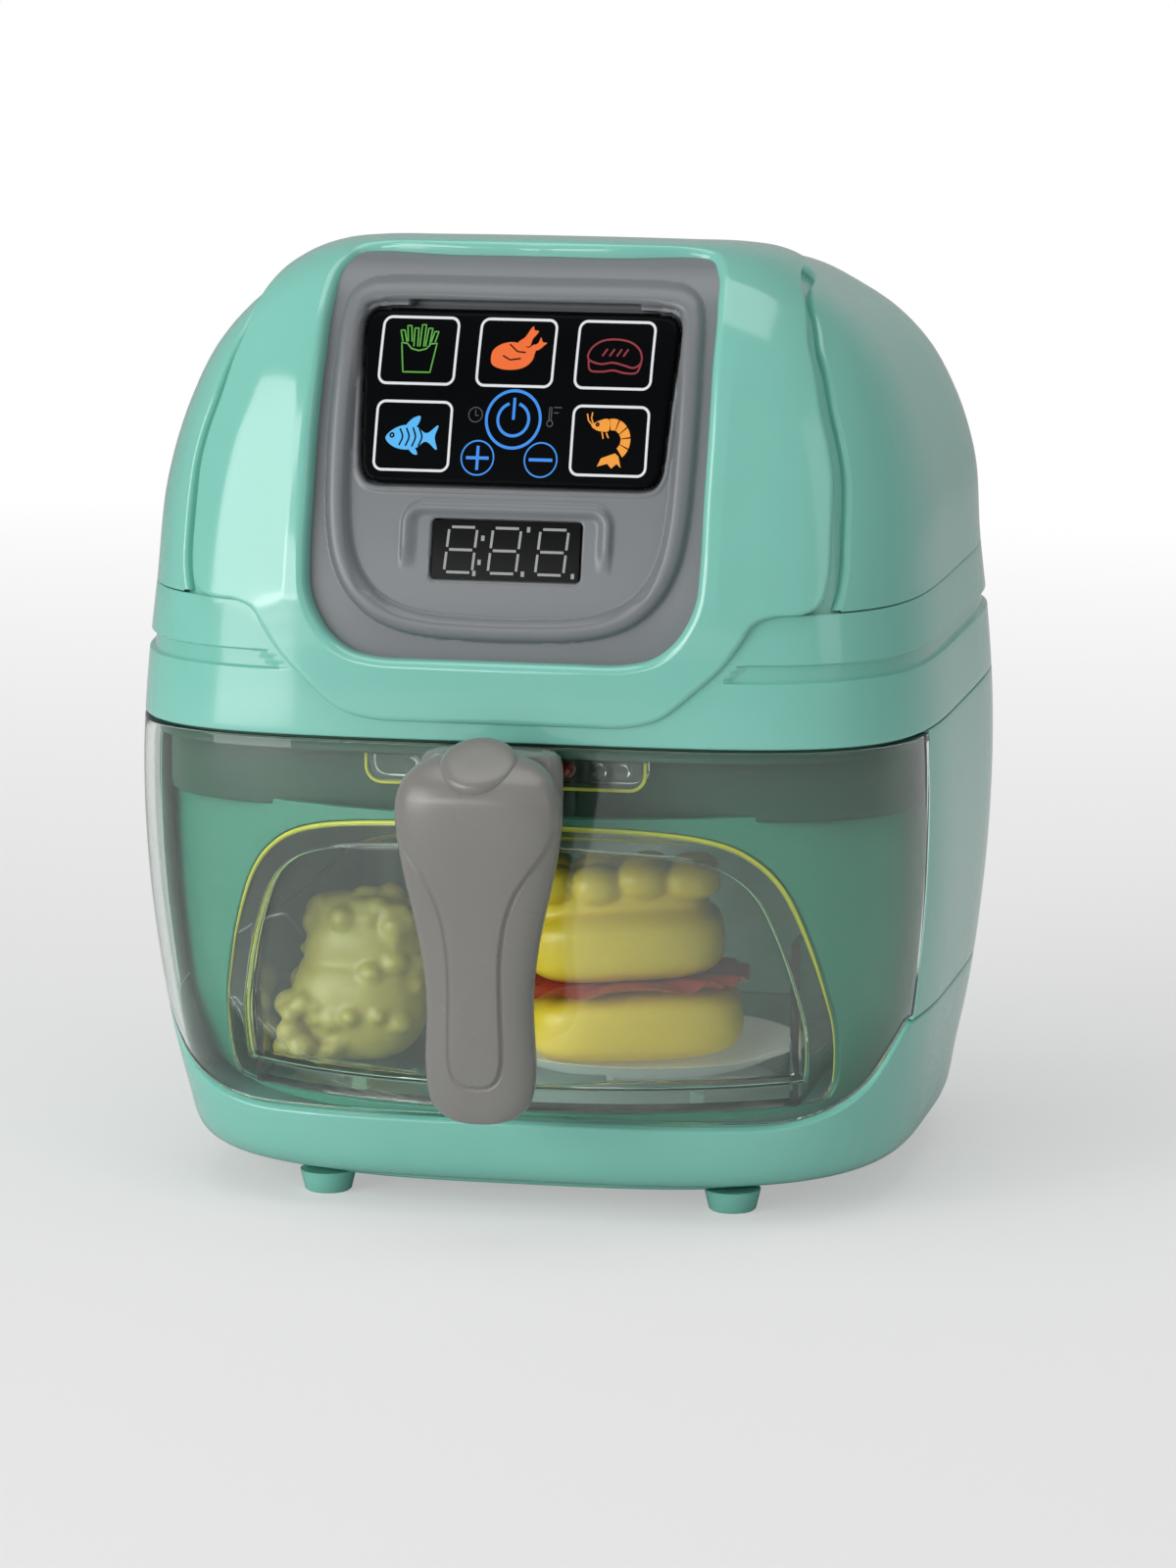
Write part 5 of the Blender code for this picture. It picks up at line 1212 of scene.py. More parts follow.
def rounded(x: float, z: float, half_x: float, half_z: float, corner: float = 2.2) -> Line:
    """Closed rounded rectangle round a middle."""
    line = []
    for sx, sz, start in ((1, 1, 0), (-1, 1, 90), (-1, -1, 180), (1, -1, 270)):
        for a in np.radians(np.linspace(start, start + 90, 8)):
            line.append((x + sx * (half_x - corner) + corner * math.cos(a),
                         z + sz * (half_z - corner) + corner * math.sin(a)))
    return line + line[:1]


def stepped(line: Array, step: float) -> Array:
    """Add places along a line so that no stretch is longer than step."""
    rows = []
    for a, b in zip(line, line[1:]):
        count = max(1, math.ceil(float(np.linalg.norm(b - a)) / step))
        rows.append(a + (b - a) * np.linspace(0, 1, count, endpoint=False)[:, None])
    return np.vstack(rows + [line[-1:]])


# How far printed faces lie out over the plate's recess, in millimetres
LABEL_OUT = 0.3
OVERPRINT_OUT = 0.36
WINDOW_OUT = -1.0


@dataclass
class Panel:
    """Control panel: moulded plate, printed press plate, display and their small marks.

    Printed marks are given in millimetres in the front view.
    """

    shells: Shells
    recess: float = 4.0 * MM
    bezel_lift: float = 3.0 * MM
    opening: float = 5.0 * MM
    plate_skirt: float = 4.0 * MM
    press_skirt: float = 1.8 * MM
    press_low: float = 204.6 * MM
    press_high: float = 250.0 * MM
    display_low: float = 179.6 * MM
    display_high: float = 195.2 * MM
    display_half: float = 20.6 * MM

    def surface(self, x: Array, z: Array, out: Array | float) -> Array:
        """Places on the plate, moved toward the front by out."""
        y = self.shells.form.depth_at(np.zeros_like(z), z) + self.recess - out
        return np.stack((x, y, z), axis=-1)

    def build(self) -> None:
        """Build and dress the panel."""
        self.build_plate()
        self.build_press()
        self.build_display()
        self.print_frames()
        self.print_fries(-28.1, 239.3)
        self.print_roast(-0.7, 239.3)
        self.print_steak(26.7, 239.2)
        self.print_fish(-27.9, 217.0)
        self.print_prawn(27.3, 217.3)
        self.print_round_keys()

    @staticmethod
    def ring(rows: Line) -> Array:
        """Smooth closed outline from the right half of its places, bottom to top."""
        return mirrored(through(np.array(rows) * MM, 160))

    def bezel(self, inset: float) -> Array:
        """Outline of the raised bezel, moved in by inset."""
        i = inset / MM
        return self.ring([(0, 163.2 + i), (19.5, 163.9 + i), (30, 165.9 + i), (38 - i / 2, 169.8 + i),
                          (44.5 - i, 176.6), (48.2 - i, 184.5), (50.1 - i, 194), (50.9 - i, 206),
                          (51.2 - i, 222), (50.9 - i, 238), (50.3 - i, 249.5), (48.6 - i, 254.6 - i),
                          (44.5 - i, 257.4 - i), (38, 258.3 - i), (0, 258.4 - i)])

    def press_outline(self, grow: float) -> Array:
        """Outline of the press plate, moved out by grow."""
        g = grow / MM
        return self.ring([(0, 204.6 - g), (30, 204.6 - g), (36.5, 204.7 - g), (39.6 + g / 2, 205.5 - g),
                          (41.2 + g, 207.6), (41.8 + g, 211), (42.8 + g, 228), (43.8 + g, 243),
                          (43.6 + g, 246.8 + g / 2), (41.6 + g / 2, 249.2 + g), (38, 249.9 + g),
                          (20, 250 + g), (0, 250 + g)])

    def relief(self, name: str, x: Array, z: Array, out: Array, keep: Array, sharp: float,
               skirt: float) -> Piece:
        """Sheet on the plate where keep holds, with its edge drawn back by skirt."""
        flat = keep.reshape(-1)
        faces = [f for f in grid_faces(*x.shape) if flat[list(f)].all()]
        sheet = mesh_piece(name, self.surface(x, z, out).reshape(-1, 3), faces, sharp)
        shape = bmesh.new()
        shape.from_mesh(sheet.data)
        bmesh.ops.delete(shape, geom=[v for v in shape.verts if not v.link_faces], context="VERTS")
        rim = [e for e in shape.edges if len(e.link_faces) == 1]
        for grown in bmesh.ops.extrude_edge_only(shape, edges=rim)["geom"]:
            if isinstance(grown, bmesh.types.BMVert):
                grown.co.y += skirt
        shape.to_mesh(sheet.data)
        shape.free()
        sheet.data.shade_smooth()
        return sheet

    def build_plate(self) -> None:
        """Grey plate: one moulded relief with the bezel, the hooked ridge and the openings."""
        half, low, high, step, sharp = 57.0 * MM, 156.6 * MM, 265.0 * MM, 0.42 * MM, 75.0
        x, z = np.meshgrid(np.linspace(-half, half, int(2 * half / step) + 1),
                           np.linspace(low, high, int((high - low) / step) + 1))
        outer, inner = (-signed_distance(x, z, self.bezel(inset)) for inset in (0.0, 5.0 * MM))
        across = np.clip(np.abs(outer - 3.1 * MM) / (3.2 * MM), 0, 1)
        out = self.bezel_lift * (1 - across**2.6) ** 0.62
        out += -0.5 * MM * ease(inner, -0.5 * MM, 0.5 * MM)
        out += self.hook(x, z)
        press = -signed_distance(x, z, self.press_outline(0.6 * MM))
        sunk = ease(press, -0.35 * MM, 0.35 * MM)
        out += -self.opening * sunk
        out += 0.35 * MM * ease(press, -1.9 * MM, -1.1 * MM) * (1 - ease(press, -0.9 * MM, -0.3 * MM))
        slot = np.maximum(np.abs(x) - 32.0 * MM, np.abs(z - 251.3 * MM) - 1.2 * MM)
        out += -self.opening * (1 - ease(slot, -0.25 * MM, 0.35 * MM)) * (1 - sunk)
        middle, corner = (self.display_low + self.display_high) / 2, 1.2 * MM
        box_x = np.abs(x) - self.display_half + corner
        box_z = np.abs(z - middle) - (self.display_high - middle) + corner
        edge = np.hypot(np.maximum(box_x, 0), np.maximum(box_z, 0)) - corner
        out += -3.2 * MM * (1 - ease(edge, -0.1 * MM, 0.55 * MM))
        keep = signed_distance(x, z, self.shells.window_outline()) < 1.9 * MM
        plate = self.relief("panel_plate", x, z, out, keep, sharp, self.plate_skirt)
        plate.data.set_sharp_from_angle(angle=math.radians(sharp))
        settle(plate, GREY, Body.HOUSING, "control_plate")

    @staticmethod
    def hook(x: Array, z: Array) -> Array:
        """Relief of the ridge that hooks over the display and fades down both sides."""
        top, half, corner = 200.4 * MM, 29.4 * MM, 6.0 * MM
        qx, qz = np.abs(x) - half + corner, z - top + corner
        line = np.hypot(np.maximum(qx, 0), np.maximum(qz, 0)) + np.minimum(np.maximum(qx, qz), 0) - corner
        inside = ease(-line, -0.2 * MM, 0.8 * MM) * (1 - ease(-line, 1.7 * MM, 4.6 * MM))
        return 1.6 * MM * inside * ease(z, 181.5 * MM, 190 * MM)

    def build_press(self) -> None:
        """Black printed plate that is pushed in."""
        half, step = 45.0 * MM, 0.5 * MM
        x, z = np.meshgrid(np.arange(-half, half + step, step),
                           np.arange(self.press_low - MM, self.press_high + MM, step))
        inside = -signed_distance(x, z, self.press_outline(0.0))
        out = LABEL_OUT * MM - 1.2 * MM * (1 - ease(inside, 0.0, 0.7 * MM))
        plate = self.relief("press_plate_label", x, z, out, inside > -0.2 * MM, 60.0, self.press_skirt)
        settle(plate, BLACK, Body.PRESS, "press_plate")

    def build_display(self) -> None:
        """Smoked window with three unlit digits and their points."""
        room = 0.2 * MM
        half = self.display_half - room
        x, z = np.meshgrid(np.linspace(-half, half, 25),
                           np.linspace(self.display_low + room, self.display_high - room, 9))
        points = np.concatenate([self.surface(x, z, out * MM).reshape(-1, 3) for out in (WINDOW_OUT, -2.6)])
        pane = mesh_piece("display_pane", points, sheet_faces(*x.shape))
        settle(pane, SMOKED, Body.HOUSING, "display_window")
        digits = [stroke for centre in (-12.6, -0.4, 12.8) for stroke in self.digit(centre, 187.4, 3.9, 6.0)]
        self.ink("display_segments", digits, 0.75, SEGMENT, WINDOW_OUT, Body.HOUSING)
        dots = [[(x, z), (x + 0.02, z)] for x, z in ((-6.6, 190.6), (-7.3, 184.2), (6.0, 193.2), (4.9, 181.4),
                                                     (-8.6, 181.2), (18.8, 181.2))]
        self.ink("display_points", dots, 1.5, SEGMENT, WINDOW_OUT, Body.HOUSING)

    @staticmethod
    def digit(x: float, z: float, half: float, tall: float, cut: float = 0.9) -> list[Line]:
        """The seven segments of a digit, leaning a little to the right."""
        def lean(a: float, b: float) -> Pair:
            """Place in the digit, with its lean."""
            return x + a + b * 0.08, z + b

        flat = [[lean(-half + cut, b), lean(half - cut, b)] for b in (-tall, 0, tall)]
        upright = [[lean(a, b), lean(a, c)] for a in (-half, half)
                   for b, c in ((-tall + cut, -cut), (cut, tall - cut))]
        return flat + upright

    def ink(self, name: str, strokes: Sequence[Line], width: float, finish: Finish, out: float = LABEL_OUT,
            body: Body = Body.PRESS) -> None:
        """Print strokes of a width as thin raised ink, on a face that lies out over the recess."""
        parts = []
        width = width * MM
        for stroke in strokes:
            line = np.array(stroke, float) * MM
            closed = len(line) > 3 and np.allclose(line[0], line[-1])
            line = stepped(line, 1.0 * MM)
            if closed:
                line = line[:-1]
                ahead = unit(np.roll(line, -1, axis=0) - np.roll(line, 1, axis=0))
            else:
                ahead = unit(np.gradient(line, axis=0))
                line[0] -= ahead[0] * width * 0.3
                line[-1] += ahead[-1] * width * 0.3
            side = np.column_stack((-ahead[:, 1], ahead[:, 0])) * width / 2
            rings = [self.surface(*(line + side * share).T, (out + rise) * MM)
                     for share, rise in ((1.0, -0.1), (0.9, 0.09), (-0.9, 0.09), (-1.0, -0.1))]
            size = len(rings), len(line)
            faces = grid_faces(*size, True, True) if closed else swept_faces(*size)
            parts.append((np.concatenate(rings), faces))
        settle(mesh_piece(name, *merged(parts)), finish, body)

    def fill(self, name: str, shapes: Sequence[Line], finish: Finish) -> None:
        """Print filled shapes on the press plate."""
        parts = []
        for shape in shapes:
            x, z = (np.array(shape, float) * MM).T
            size = len(x)
            rings = [self.surface(x, z, (LABEL_OUT + rise) * MM) for rise in (-0.1, 0.14)]
            caps = [tuple(range(size, 2 * size)), tuple(reversed(range(size)))]
            parts.append((np.concatenate(rings), caps + grid_faces(2, size, False, True)))
        settle(mesh_piece(name, *merged(parts)), finish, Body.PRESS)

    def print_frames(self) -> None:
        """Rounded frames of the five food keys."""
        frames = [rounded(x, 239.5, 10.5, 8.6) for x in (-28.1, -0.7, 26.7)]
        frames += [rounded(x, 217.2, 10.4, 9.0) for x in (-27.7, 27.1)]
        self.ink("key_frames", frames, 0.75, PRINT_WHITE)

    def print_round_keys(self) -> None:
        """Power key, the plus and minus keys, and the small clock and heat signs."""
        rings = [circle(0, 222.2, 7.5), circle(0, 222.2, 4.3, 112, 428), [(0, 227.6), (0, 222.4)]]
        self.ink("power_sign", rings, 0.85, PRINT_BLUE)
        self.ink("step_rings", [circle(-9.2, 211.9, 4.5), circle(8.4, 211.8, 4.5)], 0.45, PRINT_BLUE)
        marks = [[(-12.1, 211.9), (-6.3, 211.9)], [(-9.2, 209.0), (-9.2, 214.8)],
                 [(5.4, 211.8), (11.4, 211.8)]]
        self.ink("step_marks", marks, 0.9, PRINT_BLUE)
        clock = [circle(-10.6, 223.2, 1.9), [(-10.6, 224.4), (-10.6, 223.0), (-9.8, 223.0)]]
        heat = [circle(10.2, 221.4, 0.8), [(9.9, 222.2), (9.9, 225.6), (10.5, 225.6), (10.5, 222.2)],
                [(11.2, 225.6), (13.2, 225.6)], [(11.2, 224.2), (12.4, 224.2)]]
        self.ink("clock_and_heat_signs", clock + heat, 0.28, PRINT_GREY)

    def print_fries(self, x: float, z: float) -> None:
        """Green outline of a carton of fries."""
        lines = [[(-5.0, 2.2), (-3.9, -5.4), (3.7, -5.4), (4.9, 2.2), (3.2, 2.0), (2.0, 0.7), (0, 0.2),
                  (-2.1, 0.7), (-3.4, 2.0), (-5.0, 2.2)]]
        for a, top, lean in ((-4.2, 5.4, -0.9), (-2.7, 6.6, -0.6), (-1.0, 6.0, -0.2), (0.7, 6.9, 0.1),
                             (2.3, 6.0, 0.4), (3.8, 5.2, 0.7)):
            foot, half = 1.4 if abs(a) < 2.6 else 2.6, 0.55
            lines.append([(a - half, foot), (a - half + lean, top), (a + half + lean, top), (a + half, foot)])
        self.ink("fries_sign", [moved(line, x, z) for line in lines], 0.42, PRINT_GREEN)

    def print_roast(self, x: float, z: float) -> None:
        """Orange roast bird with its leg bones."""
        body = [(-7.0, -1.4), (-6.6, 0.8), (-4.4, 2.4), (-1.6, 3.0), (1.0, 2.6), (3.2, 1.6), (4.4, 2.4),
                (6.0, 2.4), (5.2, 0.6), (4.6, -1.6), (2.6, -3.4), (-1.0, -4.2), (-4.8, -3.8), (-6.6, -2.8)]
        leg = [(0.2, 2.9), (2.0, 4.4), (3.4, 6.6), (4.0, 7.2), (4.4, 6.2), (5.6, 6.0), (5.2, 5.2),
               (4.2, 4.0), (3.4, 2.0)]
        tip = [(4.4, 1.8), (5.8, 3.0), (6.4, 4.4), (7.0, 3.2), (8.2, 3.0), (7.4, 2.2), (5.6, 1.0)]
        self.fill("roast_sign", [smooth(places, x, z) for places in (body, leg, tip)], PRINT_ORANGE)
        cuts = [[(-2.0, 2.4), (0.2, 0.6), (2.4, 0.4)], [(-3.6, -0.6), (-1.6, -1.6), (1.2, -1.2)]]
        self.ink("roast_lines", [moved(line, x, z) for line in cuts], 0.4, BLACK, OVERPRINT_OUT)

    def print_steak(self, x: float, z: float) -> None:
        """Dark red outline of a steak with grill marks."""
        top = smooth([(-7.4, -0.6), (-6.8, 1.8), (-4.2, 3.8), (0.0, 4.4), (4.4, 3.6), (7.0, 1.4), (7.4, -1.4),
                      (5.6, -2.8), (2.6, -2.2), (-0.4, -1.6), (-4.0, -2.0)], x, z)
        side = smooth([(-7.2, -1.2), (-6.6, -3.6), (-3.6, -4.0), (0, -3.6), (3.0, -4.2), (6.4, -4.0),
                       (7.4, -1.8)], x, z, 40, False)
        marks = [moved([(a, 0.2), (a + 1.1, 1.8)], x, z) for a in (-3.4, -1.4, 0.6, 2.4)]
        self.ink("steak_sign", [top + top[:1], side] + marks, 0.55, PRINT_DARK_RED)

    def print_fish(self, x: float, z: float) -> None:
        """Light blue fish with its stripes left open."""
        body = [(-7.4, -0.4), (-5.4, 1.8), (-2.2, 3.0), (1.2, 2.6), (4.0, 1.0), (7.2, 3.2), (6.4, 0.0),
                (7.2, -3.4), (4.0, -1.2), (1.2, -3.0), (-2.2, -3.4), (-5.6, -2.4)]
        fin = [(-1.8, 2.8), (0.2, 5.0), (2.0, 5.4), (1.6, 3.4), (0.6, 2.4)]
        lower = [(-0.6, -3.2), (0.8, -4.6), (1.8, -4.6), (1.2, -3.2), (0.4, -2.8)]
        self.fill("fish_sign", [smooth(places, x, z) for places in (body, fin, lower)], PRINT_LIGHT_BLUE)
        bands = [smooth([(a, 2.3 - abs(a) * 0.1), (a + 0.8, 0), (a, -2.5 + abs(a) * 0.1)], x, z, 12, False)
                 for a in (-3.4, -1.6, 0.2, 2.0)]
        self.ink("fish_stripes", bands + [circle(x - 5.6, z + 0.3, 0.5)], 0.5, BLACK, OVERPRINT_OUT)

    def print_prawn(self, x: float, z: float) -> None:
        """Amber prawn: a bent row of plates with a fanned tail."""
        def arc(start: float, end: float, wide: float, tall: float) -> Line:
            """Part of the oval that the plates follow, in degrees."""
            return [(0.4 + wide * math.cos(a), 0.2 + tall * math.sin(a))
                    for a in np.radians(np.linspace(start, end, 5))]

        head = smooth([(-5.4, 3.8), (-3.4, 5.2), (-0.8, 5.6), (-0.6, 2.6), (-2.4, 2.4), (-4.2, 2.8)])
        plates = [arc(a, b, 5.2, 5.6) + arc(b, a, 2.5, 2.6)
                  for a, b in ((100, 72), (68, 40), (36, 10), (6, -22), (-26, -52))]
        tail = [(2.6, -4.0), (1.6, -3.2), (-2.2, -4.6), (-3.2, -6.8), (-0.4, -6.0), (0.8, -7.2), (2.2, -6.0),
                (3.4, -7.0)]
        self.fill("prawn_sign", [moved(shape, x, z) for shape in (head, *plates, tail)], PRINT_AMBER)
        feelers = [[(-5.2, 3.9), (-6.4, 5.2), (-6.8, 6.8)], [(-5.0, 4.3), (-5.6, 5.8), (-5.4, 7.2)],
                   [(-2.4, 2.2), (-2.0, 0.6)], [(-1.2, 2.0), (-0.6, 0.8)]]
        self.ink("prawn_feelers", [moved(line, x, z) for line in feelers], 0.4, PRINT_AMBER)
        self.ink("prawn_eye", [circle(x - 3.8, z + 4.2, 0.35)], 0.5, BLACK, 0.38)


@dataclass
class Lamps:
    """The lamp window under the ceiling and its small bulbs."""

    red: int = 3
    corner: float = 4.4 * MM

    def build(self) -> None:
        """Build and dress the lamps."""
        for index in range(1, 6):
            self.build_lamp(index)
        window = frame["nodes"]["lamp_window"]
        paint(window, CLEAR)
        window.visible_shadow = False
        low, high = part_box("lamp_window")
        half, top, corner = high.x, high.z - 1.0 * MM, self.corner
        bottom = [(half - corner + corner * math.sin(a), low.z + corner - corner * math.cos(a))
                  for a in np.linspace(0, QUARTER, 8)]
        line = [(-x, z) for x, z in [(half, top)] + bottom[::-1]] + bottom + [(half, top)]
        path = np.array([(x, low.y + 0.5 * MM, z) for x, z in line])
        # Painted glow along the lamp window's edge
        settle(tube("lamp_window_lit_rim", path, 0.5 * MM), PAINTED_GLOW_EDGE, Body.HOUSING)

    def build_lamp(self, index: int) -> None:
        """One bulb: a lens with a flange."""
        node = f"lamp_{index}"
        low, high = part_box(node)
        foot = Vector(((low.x + high.x) / 2, high.y, (low.z + high.z) / 2))
        radius, tip = (high.z - low.z) / 2, high.y - low.y
        lens = 0.82 * radius
        dome = [(lens * math.cos(a), tip - lens + lens * math.sin(a)) for a in np.linspace(0, QUARTER, 7)]
        profile = [(0, 0), (radius, 0), (radius, 0.5 * MM), (0.84 * radius, 0.7 * MM)]
        profile += dome[:-1] + [(0, tip)]
        finish = RED_LENS if index == self.red else CLEAR
        settle(lathe(f"bulb_{index}", profile, foot, "Y", 32), finish, Body.HOUSING, node)


@dataclass
class Food:
    """The play food in the tub: dish, filled bread and a lumpy crinkled piece."""

    seed: int = 7
    slab_rows: int = 25
    slab_columns: int = 48

    def build(self) -> None:
        """Build and dress the food."""
        random.seed(self.seed)
        self.build_dish()
        self.build_bread()
        self.build_crinkles()

    @staticmethod
    def build_dish() -> None:
        """White oval dish with a rolled rim."""
        low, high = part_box("food_dish")
        centre = middle_of("food_dish")
        wide, deep, tall = high.x - centre.x, high.y - centre.y, high.z - low.z
        rows = ((0.0, 0.0), (0.55, 0.0), (0.62, 0.02), (0.76, 0.30), (0.90, 0.72), (0.975, 0.93), (1.0, 1.0),
                (0.985, 1.03), (0.95, 0.98), (0.86, 0.76), (0.72, 0.42), (0.60, 0.24), (0.0, 0.22))
        turns = np.linspace(0, math.tau, 96, endpoint=False)
        points = [(centre.x + wide * r * math.cos(a), centre.y + deep * r * math.sin(a),
                   low.z + tall * min(h, 1.0)) for r, h in rows for a in turns]
        dish = mesh_piece("dish_bowl", points, grid_faces(len(rows), len(turns), False, True), 60.0)
        settle(dish, WHITE, Body.DRAWER, "food_dish")

    def build_bread(self) -> None:
        """Two soft bread halves, turned and tipped a little, with a wavy filling between them."""
        low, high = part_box("bread_lower")
        middle, half = middle_of("bread_lower"), (high - low) / 2
        lay = (Matrix.Translation((middle.x, middle.y, low.z)) @ Matrix.Rotation(math.radians(-3.5), 4, "Y")
               @ Matrix.Rotation(math.radians(10.0), 4, "Z"))
        wide, deep = half.x * 0.98, half.y * 0.90

        def lump(x: float, y: float, z: float, *size: float, power: float) -> list[Vector]:
            """Rounded block at shares of the width and the depth and at a height in millimetres."""
            return self.slab(Vector((x * wide, y * deep, z * MM)), Vector(size), power)

        bottom = [lump(0, 0, 9.4, wide, deep, 10.2 * MM, power=0.55),
                  lump(0.1, 0, 14.0, 0.6 * wide, 0.8 * deep, 6.4 * MM, power=0.8)]
        settle(self.melt("bread_bottom", bottom, lay), BREAD, Body.DRAWER, "bread_lower")
        top = [lump(-0.05, 0, 32.4, 0.92 * wide, 0.96 * deep, 10.6 * MM, power=0.55),
               lump(-0.10, 0.12, 44.0, 0.84 * wide, 0.74 * deep, 10.0 * MM, power=0.5)]
        top += [lump(-0.72 + 0.44 * k, y, 50.6 - 0.9 * (k % 2), 8.0 * MM, 8.0 * MM, 5.6 * MM, power=0.9)
                for k in range(4) for y in (-0.42, 0.25)]
        settle(self.melt("bread_top", top, lay), BREAD, Body.DRAWER, "bread_upper")
        turns, points = np.linspace(0, math.tau, 160, endpoint=False), []
        for r, h in ((0.0, 0.0), (0.9, 0.0), (1.0, 0.5), (0.9, 1.0), (0.0, 1.0)):
            for a in turns:
                x, y = 32.5 * r * float(bent(math.cos(a), 0.6)), 21.5 * r * float(bent(math.sin(a), 0.6))
                points.append(lay @ (Vector((x, y, 20.2 + 1.7 * h + 1.2 * math.sin(11 * a) * r**4)) * MM))
        filling = mesh_piece("filling_sheet", points, grid_faces(5, len(turns), False, True), 60.0)
        settle(filling, RED, Body.DRAWER, "bread_filling")

    def slab(self, centre: Vector, half: Vector, power: float) -> list[Vector]:
        """Places of a rounded block, or of a ball when the power is one."""
        def wave(value: float) -> float:
            """Raise to the power and keep the sign."""
            return math.copysign(abs(value) ** power, value)

        places = []
        for a in np.linspace(-QUARTER, QUARTER, self.slab_rows):
            for b in np.linspace(0, math.tau, self.slab_columns, endpoint=False):
                flat, rise = wave(math.cos(a)), wave(math.sin(a))
                places.append(centre + Vector((half.x * flat * wave(math.cos(b)),
                                               half.y * flat * wave(math.sin(b)), half.z * rise)))
        return places

    def melt(self, name: str, lumps: Sequence[list[Vector]], lay: Matrix, cell: float = 0.7 * MM) -> Piece:
        """Melt rounded blocks together into one soft solid, rebuilt from cells of a size."""
        skin = grid_faces(self.slab_rows, self.slab_columns, False, True)
        points, faces = merged([(lump, skin) for lump in lumps])
        mesh = bpy.data.meshes.new(name)
        mesh.from_pydata([tuple(p) for p in points], [], faces)
        piece = link(name, mesh)
        remesh = piece.modifiers.new("melt", "REMESH")
        remesh.mode, remesh.voxel_size = "VOXEL", cell
        soft = piece.modifiers.new("soften", "SMOOTH")
        soft.factor, soft.iterations = 0.5, 5
        result = baked(piece)
        result.transform(lay)
        result.shade_smooth()
        return piece

    def build_crinkles(self) -> None:
        """The lumpy piece at the left: a soft heap with a squarer foot at its front left."""
        low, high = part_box("food_crisps")
        foot = Vector(((low.x + high.x) / 2, (low.y + high.y) / 2, low.z + 1.5 * MM))
        body = [((0.5, 0, 16), (19.0, 15.0, 16.0)), ((1.5, 1, 30), (16.5, 12.5, 13.5)),
                ((-3, 1, 39), (9.5, 9, 8.5)), ((7, 1, 38), (10.0, 9, 8.5))]
        lumps = [self.slab(Vector(p) * MM, Vector(h) * MM, 0.8) for p, h in body]
        body.append(((-11.5, -8, 9.5), (10.0, 9.0, 9.0)))
        for place, half in body:
            for _ in range(30):
                a, b = random.uniform(-1.1, 1.3), random.uniform(0, math.tau)
                d = Vector((math.cos(a) * math.cos(b), math.cos(a) * math.sin(b), math.sin(a)))
                spot = Vector([place[k] + half[k] * 0.98 * d[k] for k in range(3)]) * MM
                size = random.uniform(2.8, 4.4) * MM
                spot.x = max(spot.x, size - 22.5 * MM)
                spot.z = max(spot.z, size)
                lumps.append(self.slab(spot, Vector((size, size, size * random.uniform(0.7, 1.1))), 1.0))
        heap = self.melt("crinkle_heap", lumps, Matrix.Translation(foot), 0.9 * MM)
        settle(heap, CRISP, Body.DRAWER, "food_crisps")


def dress_frame() -> None:
    """Give every CAD node that stays in view its finish, by its slot in the record."""
    slots = {part["node"]: Slot(part["material_slot"]) for part in frame["record"]["subparts"]}
    for name, node in frame["nodes"].items():
        paint(node, NODE_FINISH.get(name, SLOT_FINISH[slots[name]]))


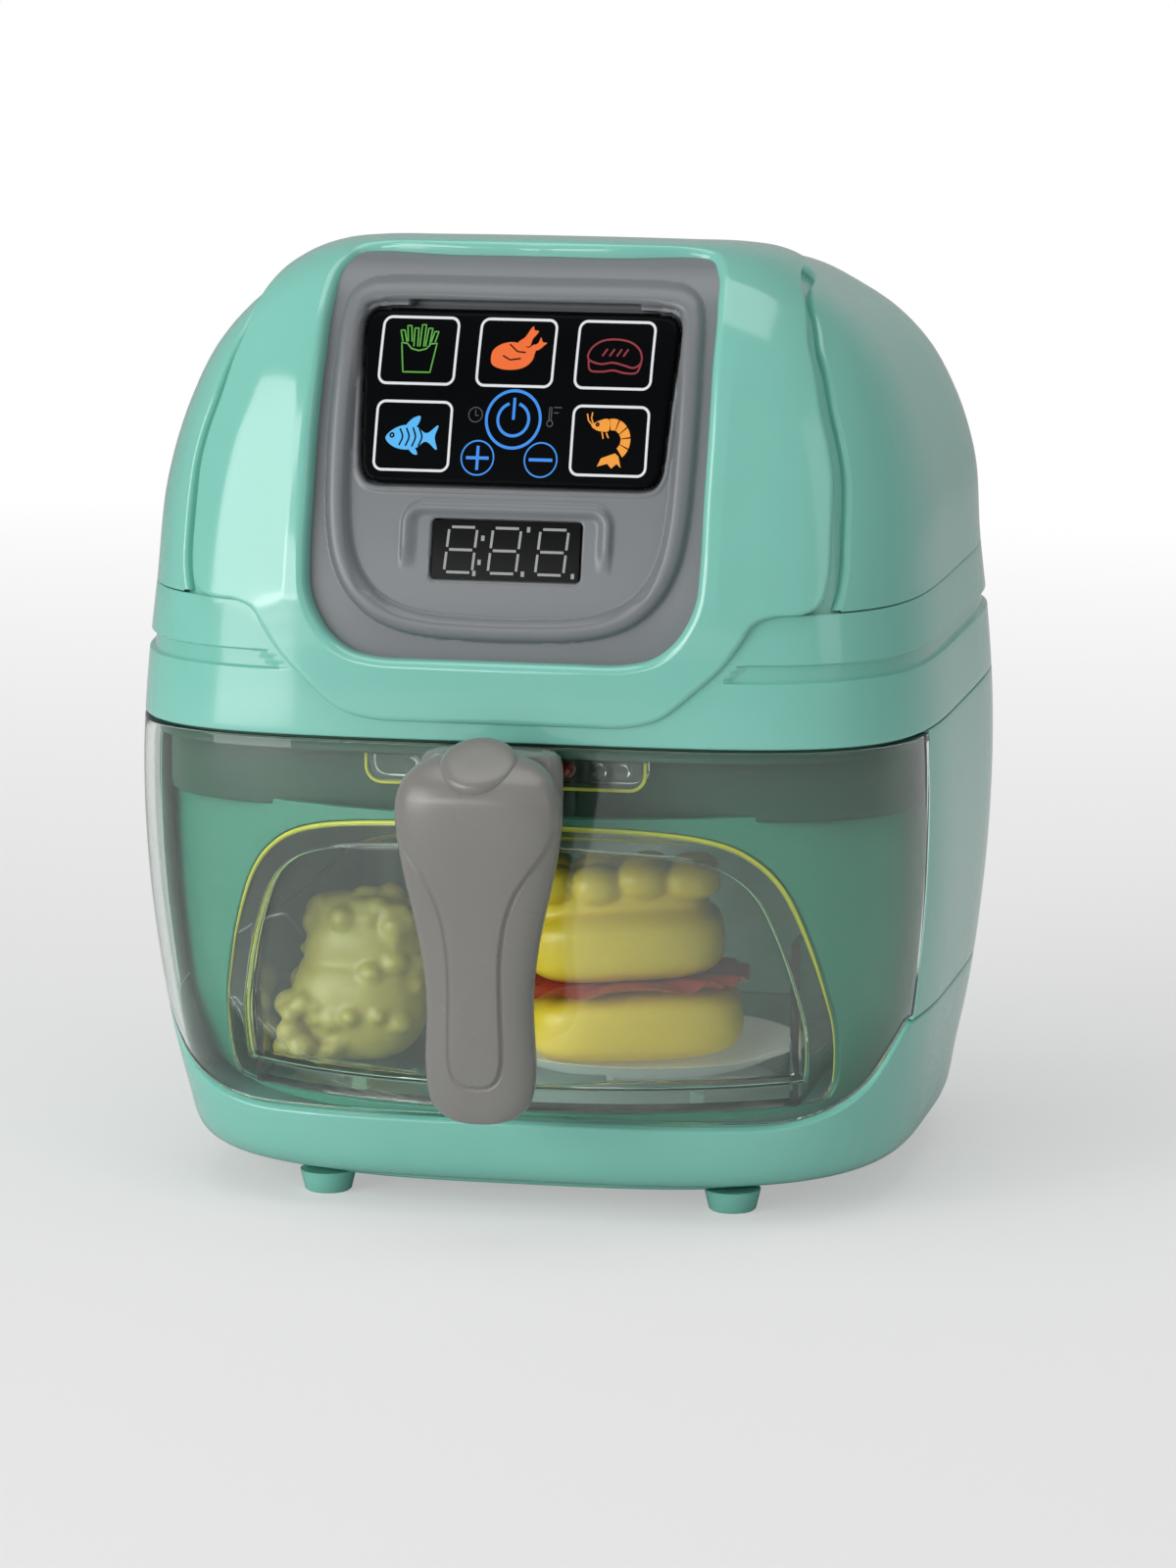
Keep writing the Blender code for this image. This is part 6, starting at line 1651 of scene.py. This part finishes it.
@dataclass
class Studio:
    """Pale floor, soft lights and the camera at the photograph's angle."""

    yaw: float = math.radians(12.0)
    pitch: float = math.radians(10.3)
    eye: tuple[float, float, float] = (0.4053, -1.8749, 0.4583)
    focal_px: float = 7000.0
    width_px: float = 1200.0
    floor_half: float = 7.0
    sweep_start: float = 2.2
    sweep_radius: float = 1.2

    def build(self) -> None:
        """Set the floor, the camera, the lights and the world."""
        scene = bpy.context.scene
        scene.view_settings.view_transform = "Standard"
        self.build_floor()
        self.build_camera(scene)
        self.build_lights(scene)
        self.build_world(scene)

    def build_camera(self, scene: bpy.types.Scene) -> None:
        """Camera with the lens and place that fit the photograph."""
        data = bpy.data.cameras.new("camera")
        data.sensor_fit = "HORIZONTAL"
        data.sensor_width = 36.0
        data.lens = data.sensor_width * self.focal_px / self.width_px
        camera = bpy.data.objects.new("camera", data)
        level = math.cos(self.pitch)
        look = Vector((-math.sin(self.yaw) * level, math.cos(self.yaw) * level, -math.sin(self.pitch)))
        camera.rotation_euler = look.to_track_quat("-Z", "Y").to_euler()
        camera.location = self.eye
        scene.collection.objects.link(camera)
        scene.camera = camera

    def build_floor(self) -> None:
        """Floor that sweeps up behind into a plain backdrop, white where it is seen."""
        start, radius = self.sweep_start, self.sweep_radius
        profile = [(-6.0, 0.0), (start, 0.0)]
        profile += [(start + radius * math.sin(a), radius - radius * math.cos(a))
                    for a in np.linspace(0, QUARTER, 16)]
        profile += [(start + radius, 6.0)]
        points = [(x, y, z) for y, z in profile for x in (-self.floor_half, self.floor_half)]
        sweep = mesh_piece("floor", points, grid_faces(len(profile), 2), 60.0)
        material = bpy.data.materials.new("pale_paper_sweep")
        tree = empty_tree(material)
        place = add_node(tree, "TexCoord").outputs["Object"]
        bump = add_node(tree, "Bump", {"Strength": 0.1, "Distance": 0.1 * MM},
                        {"Height": add_noise(tree, place, 2.5, 2.0)})
        paper = add_node(tree, "BsdfPrincipled", {"Base Color": linear("E6E6E6"), "Roughness": 0.7},
                         {"Normal": bump.outputs["Normal"]})
        split = add_node(tree, "SeparateXYZ", None, {"Vector": place})
        far = add_node(tree, "MapRange", {"From Min": 0.15, "From Max": 1.3, "To Min": 0.4, "To Max": 1.0},
                       {"Value": split.outputs["Y"]})
        share = add_node(tree, "Math", {"operation": "MULTIPLY"},
                         {0: far.outputs["Result"], 1: seen_directly(tree)})
        white = add_node(tree, "Emission", {"Color": (1.0, 1.0, 1.0, 1.0), "Strength": 1.0})
        mix = add_node(tree, "MixShader", None, {0: share.outputs["Value"], 1: paper.outputs["BSDF"],
                                                 2: white.outputs["Emission"]})
        add_node(tree, "OutputMaterial", None, {"Surface": mix.outputs["Shader"]})
        sweep.data.materials.append(material)

    @staticmethod
    def build_lights(scene: bpy.types.Scene) -> None:
        """Soft boxes on both sides, above and in front."""
        for name, spot, size, power, aim in (
            ("key", (-1.5, -1.5, 0.91), (1.1, 1.13), 15.0, (0, 0, 0.14)),
            ("low_card", (-0.74, -0.94, 0.155), (0.56, 0.28), 1.3, (0, 0, 0.155)),
            ("side", (1.7, -1.2, 0.9), (0.7, 1.5), 2.5, (0, 0, 0.14)),
            ("top", (0.0, -0.2, 2.1), (1.8, 1.4), 14.0, (0, 0, 0.1)),
            ("front", (-1.1, -2.4, 0.7), (1.2, 0.8), 12.0, (0, 0, 0.10)),
        ):
            data = bpy.data.lights.new(name, "AREA")
            data.shape = "RECTANGLE"
            data.size, data.size_y = size
            data.energy = power
            lamp = bpy.data.objects.new(name, data)
            lamp.location = spot
            lamp.rotation_euler = (Vector(aim) - Vector(spot)).to_track_quat("-Z", "Y").to_euler()
            scene.collection.objects.link(lamp)

    @staticmethod
    def build_world(scene: bpy.types.Scene) -> None:
        """Even fill from all round, white where it is seen."""
        scene.world = bpy.data.worlds.new("studio")
        tree = empty_tree(scene.world)
        strength = add_node(tree, "MapRange", {"To Min": 0.34, "To Max": 1.0}, {"Value": seen_directly(tree)})
        glow = add_node(tree, "Background", {"Color": (1.0, 1.0, 1.0, 1.0)},
                        {"Strength": strength.outputs["Result"]})
        add_node(tree, "OutputWorld", None, {"Surface": glow.outputs["Background"]})


def main() -> None:
    """Build the studio and every piece in order."""
    logging.basicConfig(level=logging.INFO, format="%(message)s")
    Studio().build()
    dress_frame()
    shells = Shells(HousingForm())
    shells.build()
    Drawer(shells).build()
    Panel(shells).build()
    Lamps().build()
    Food().build()


if __name__ == "__main__":
    main()
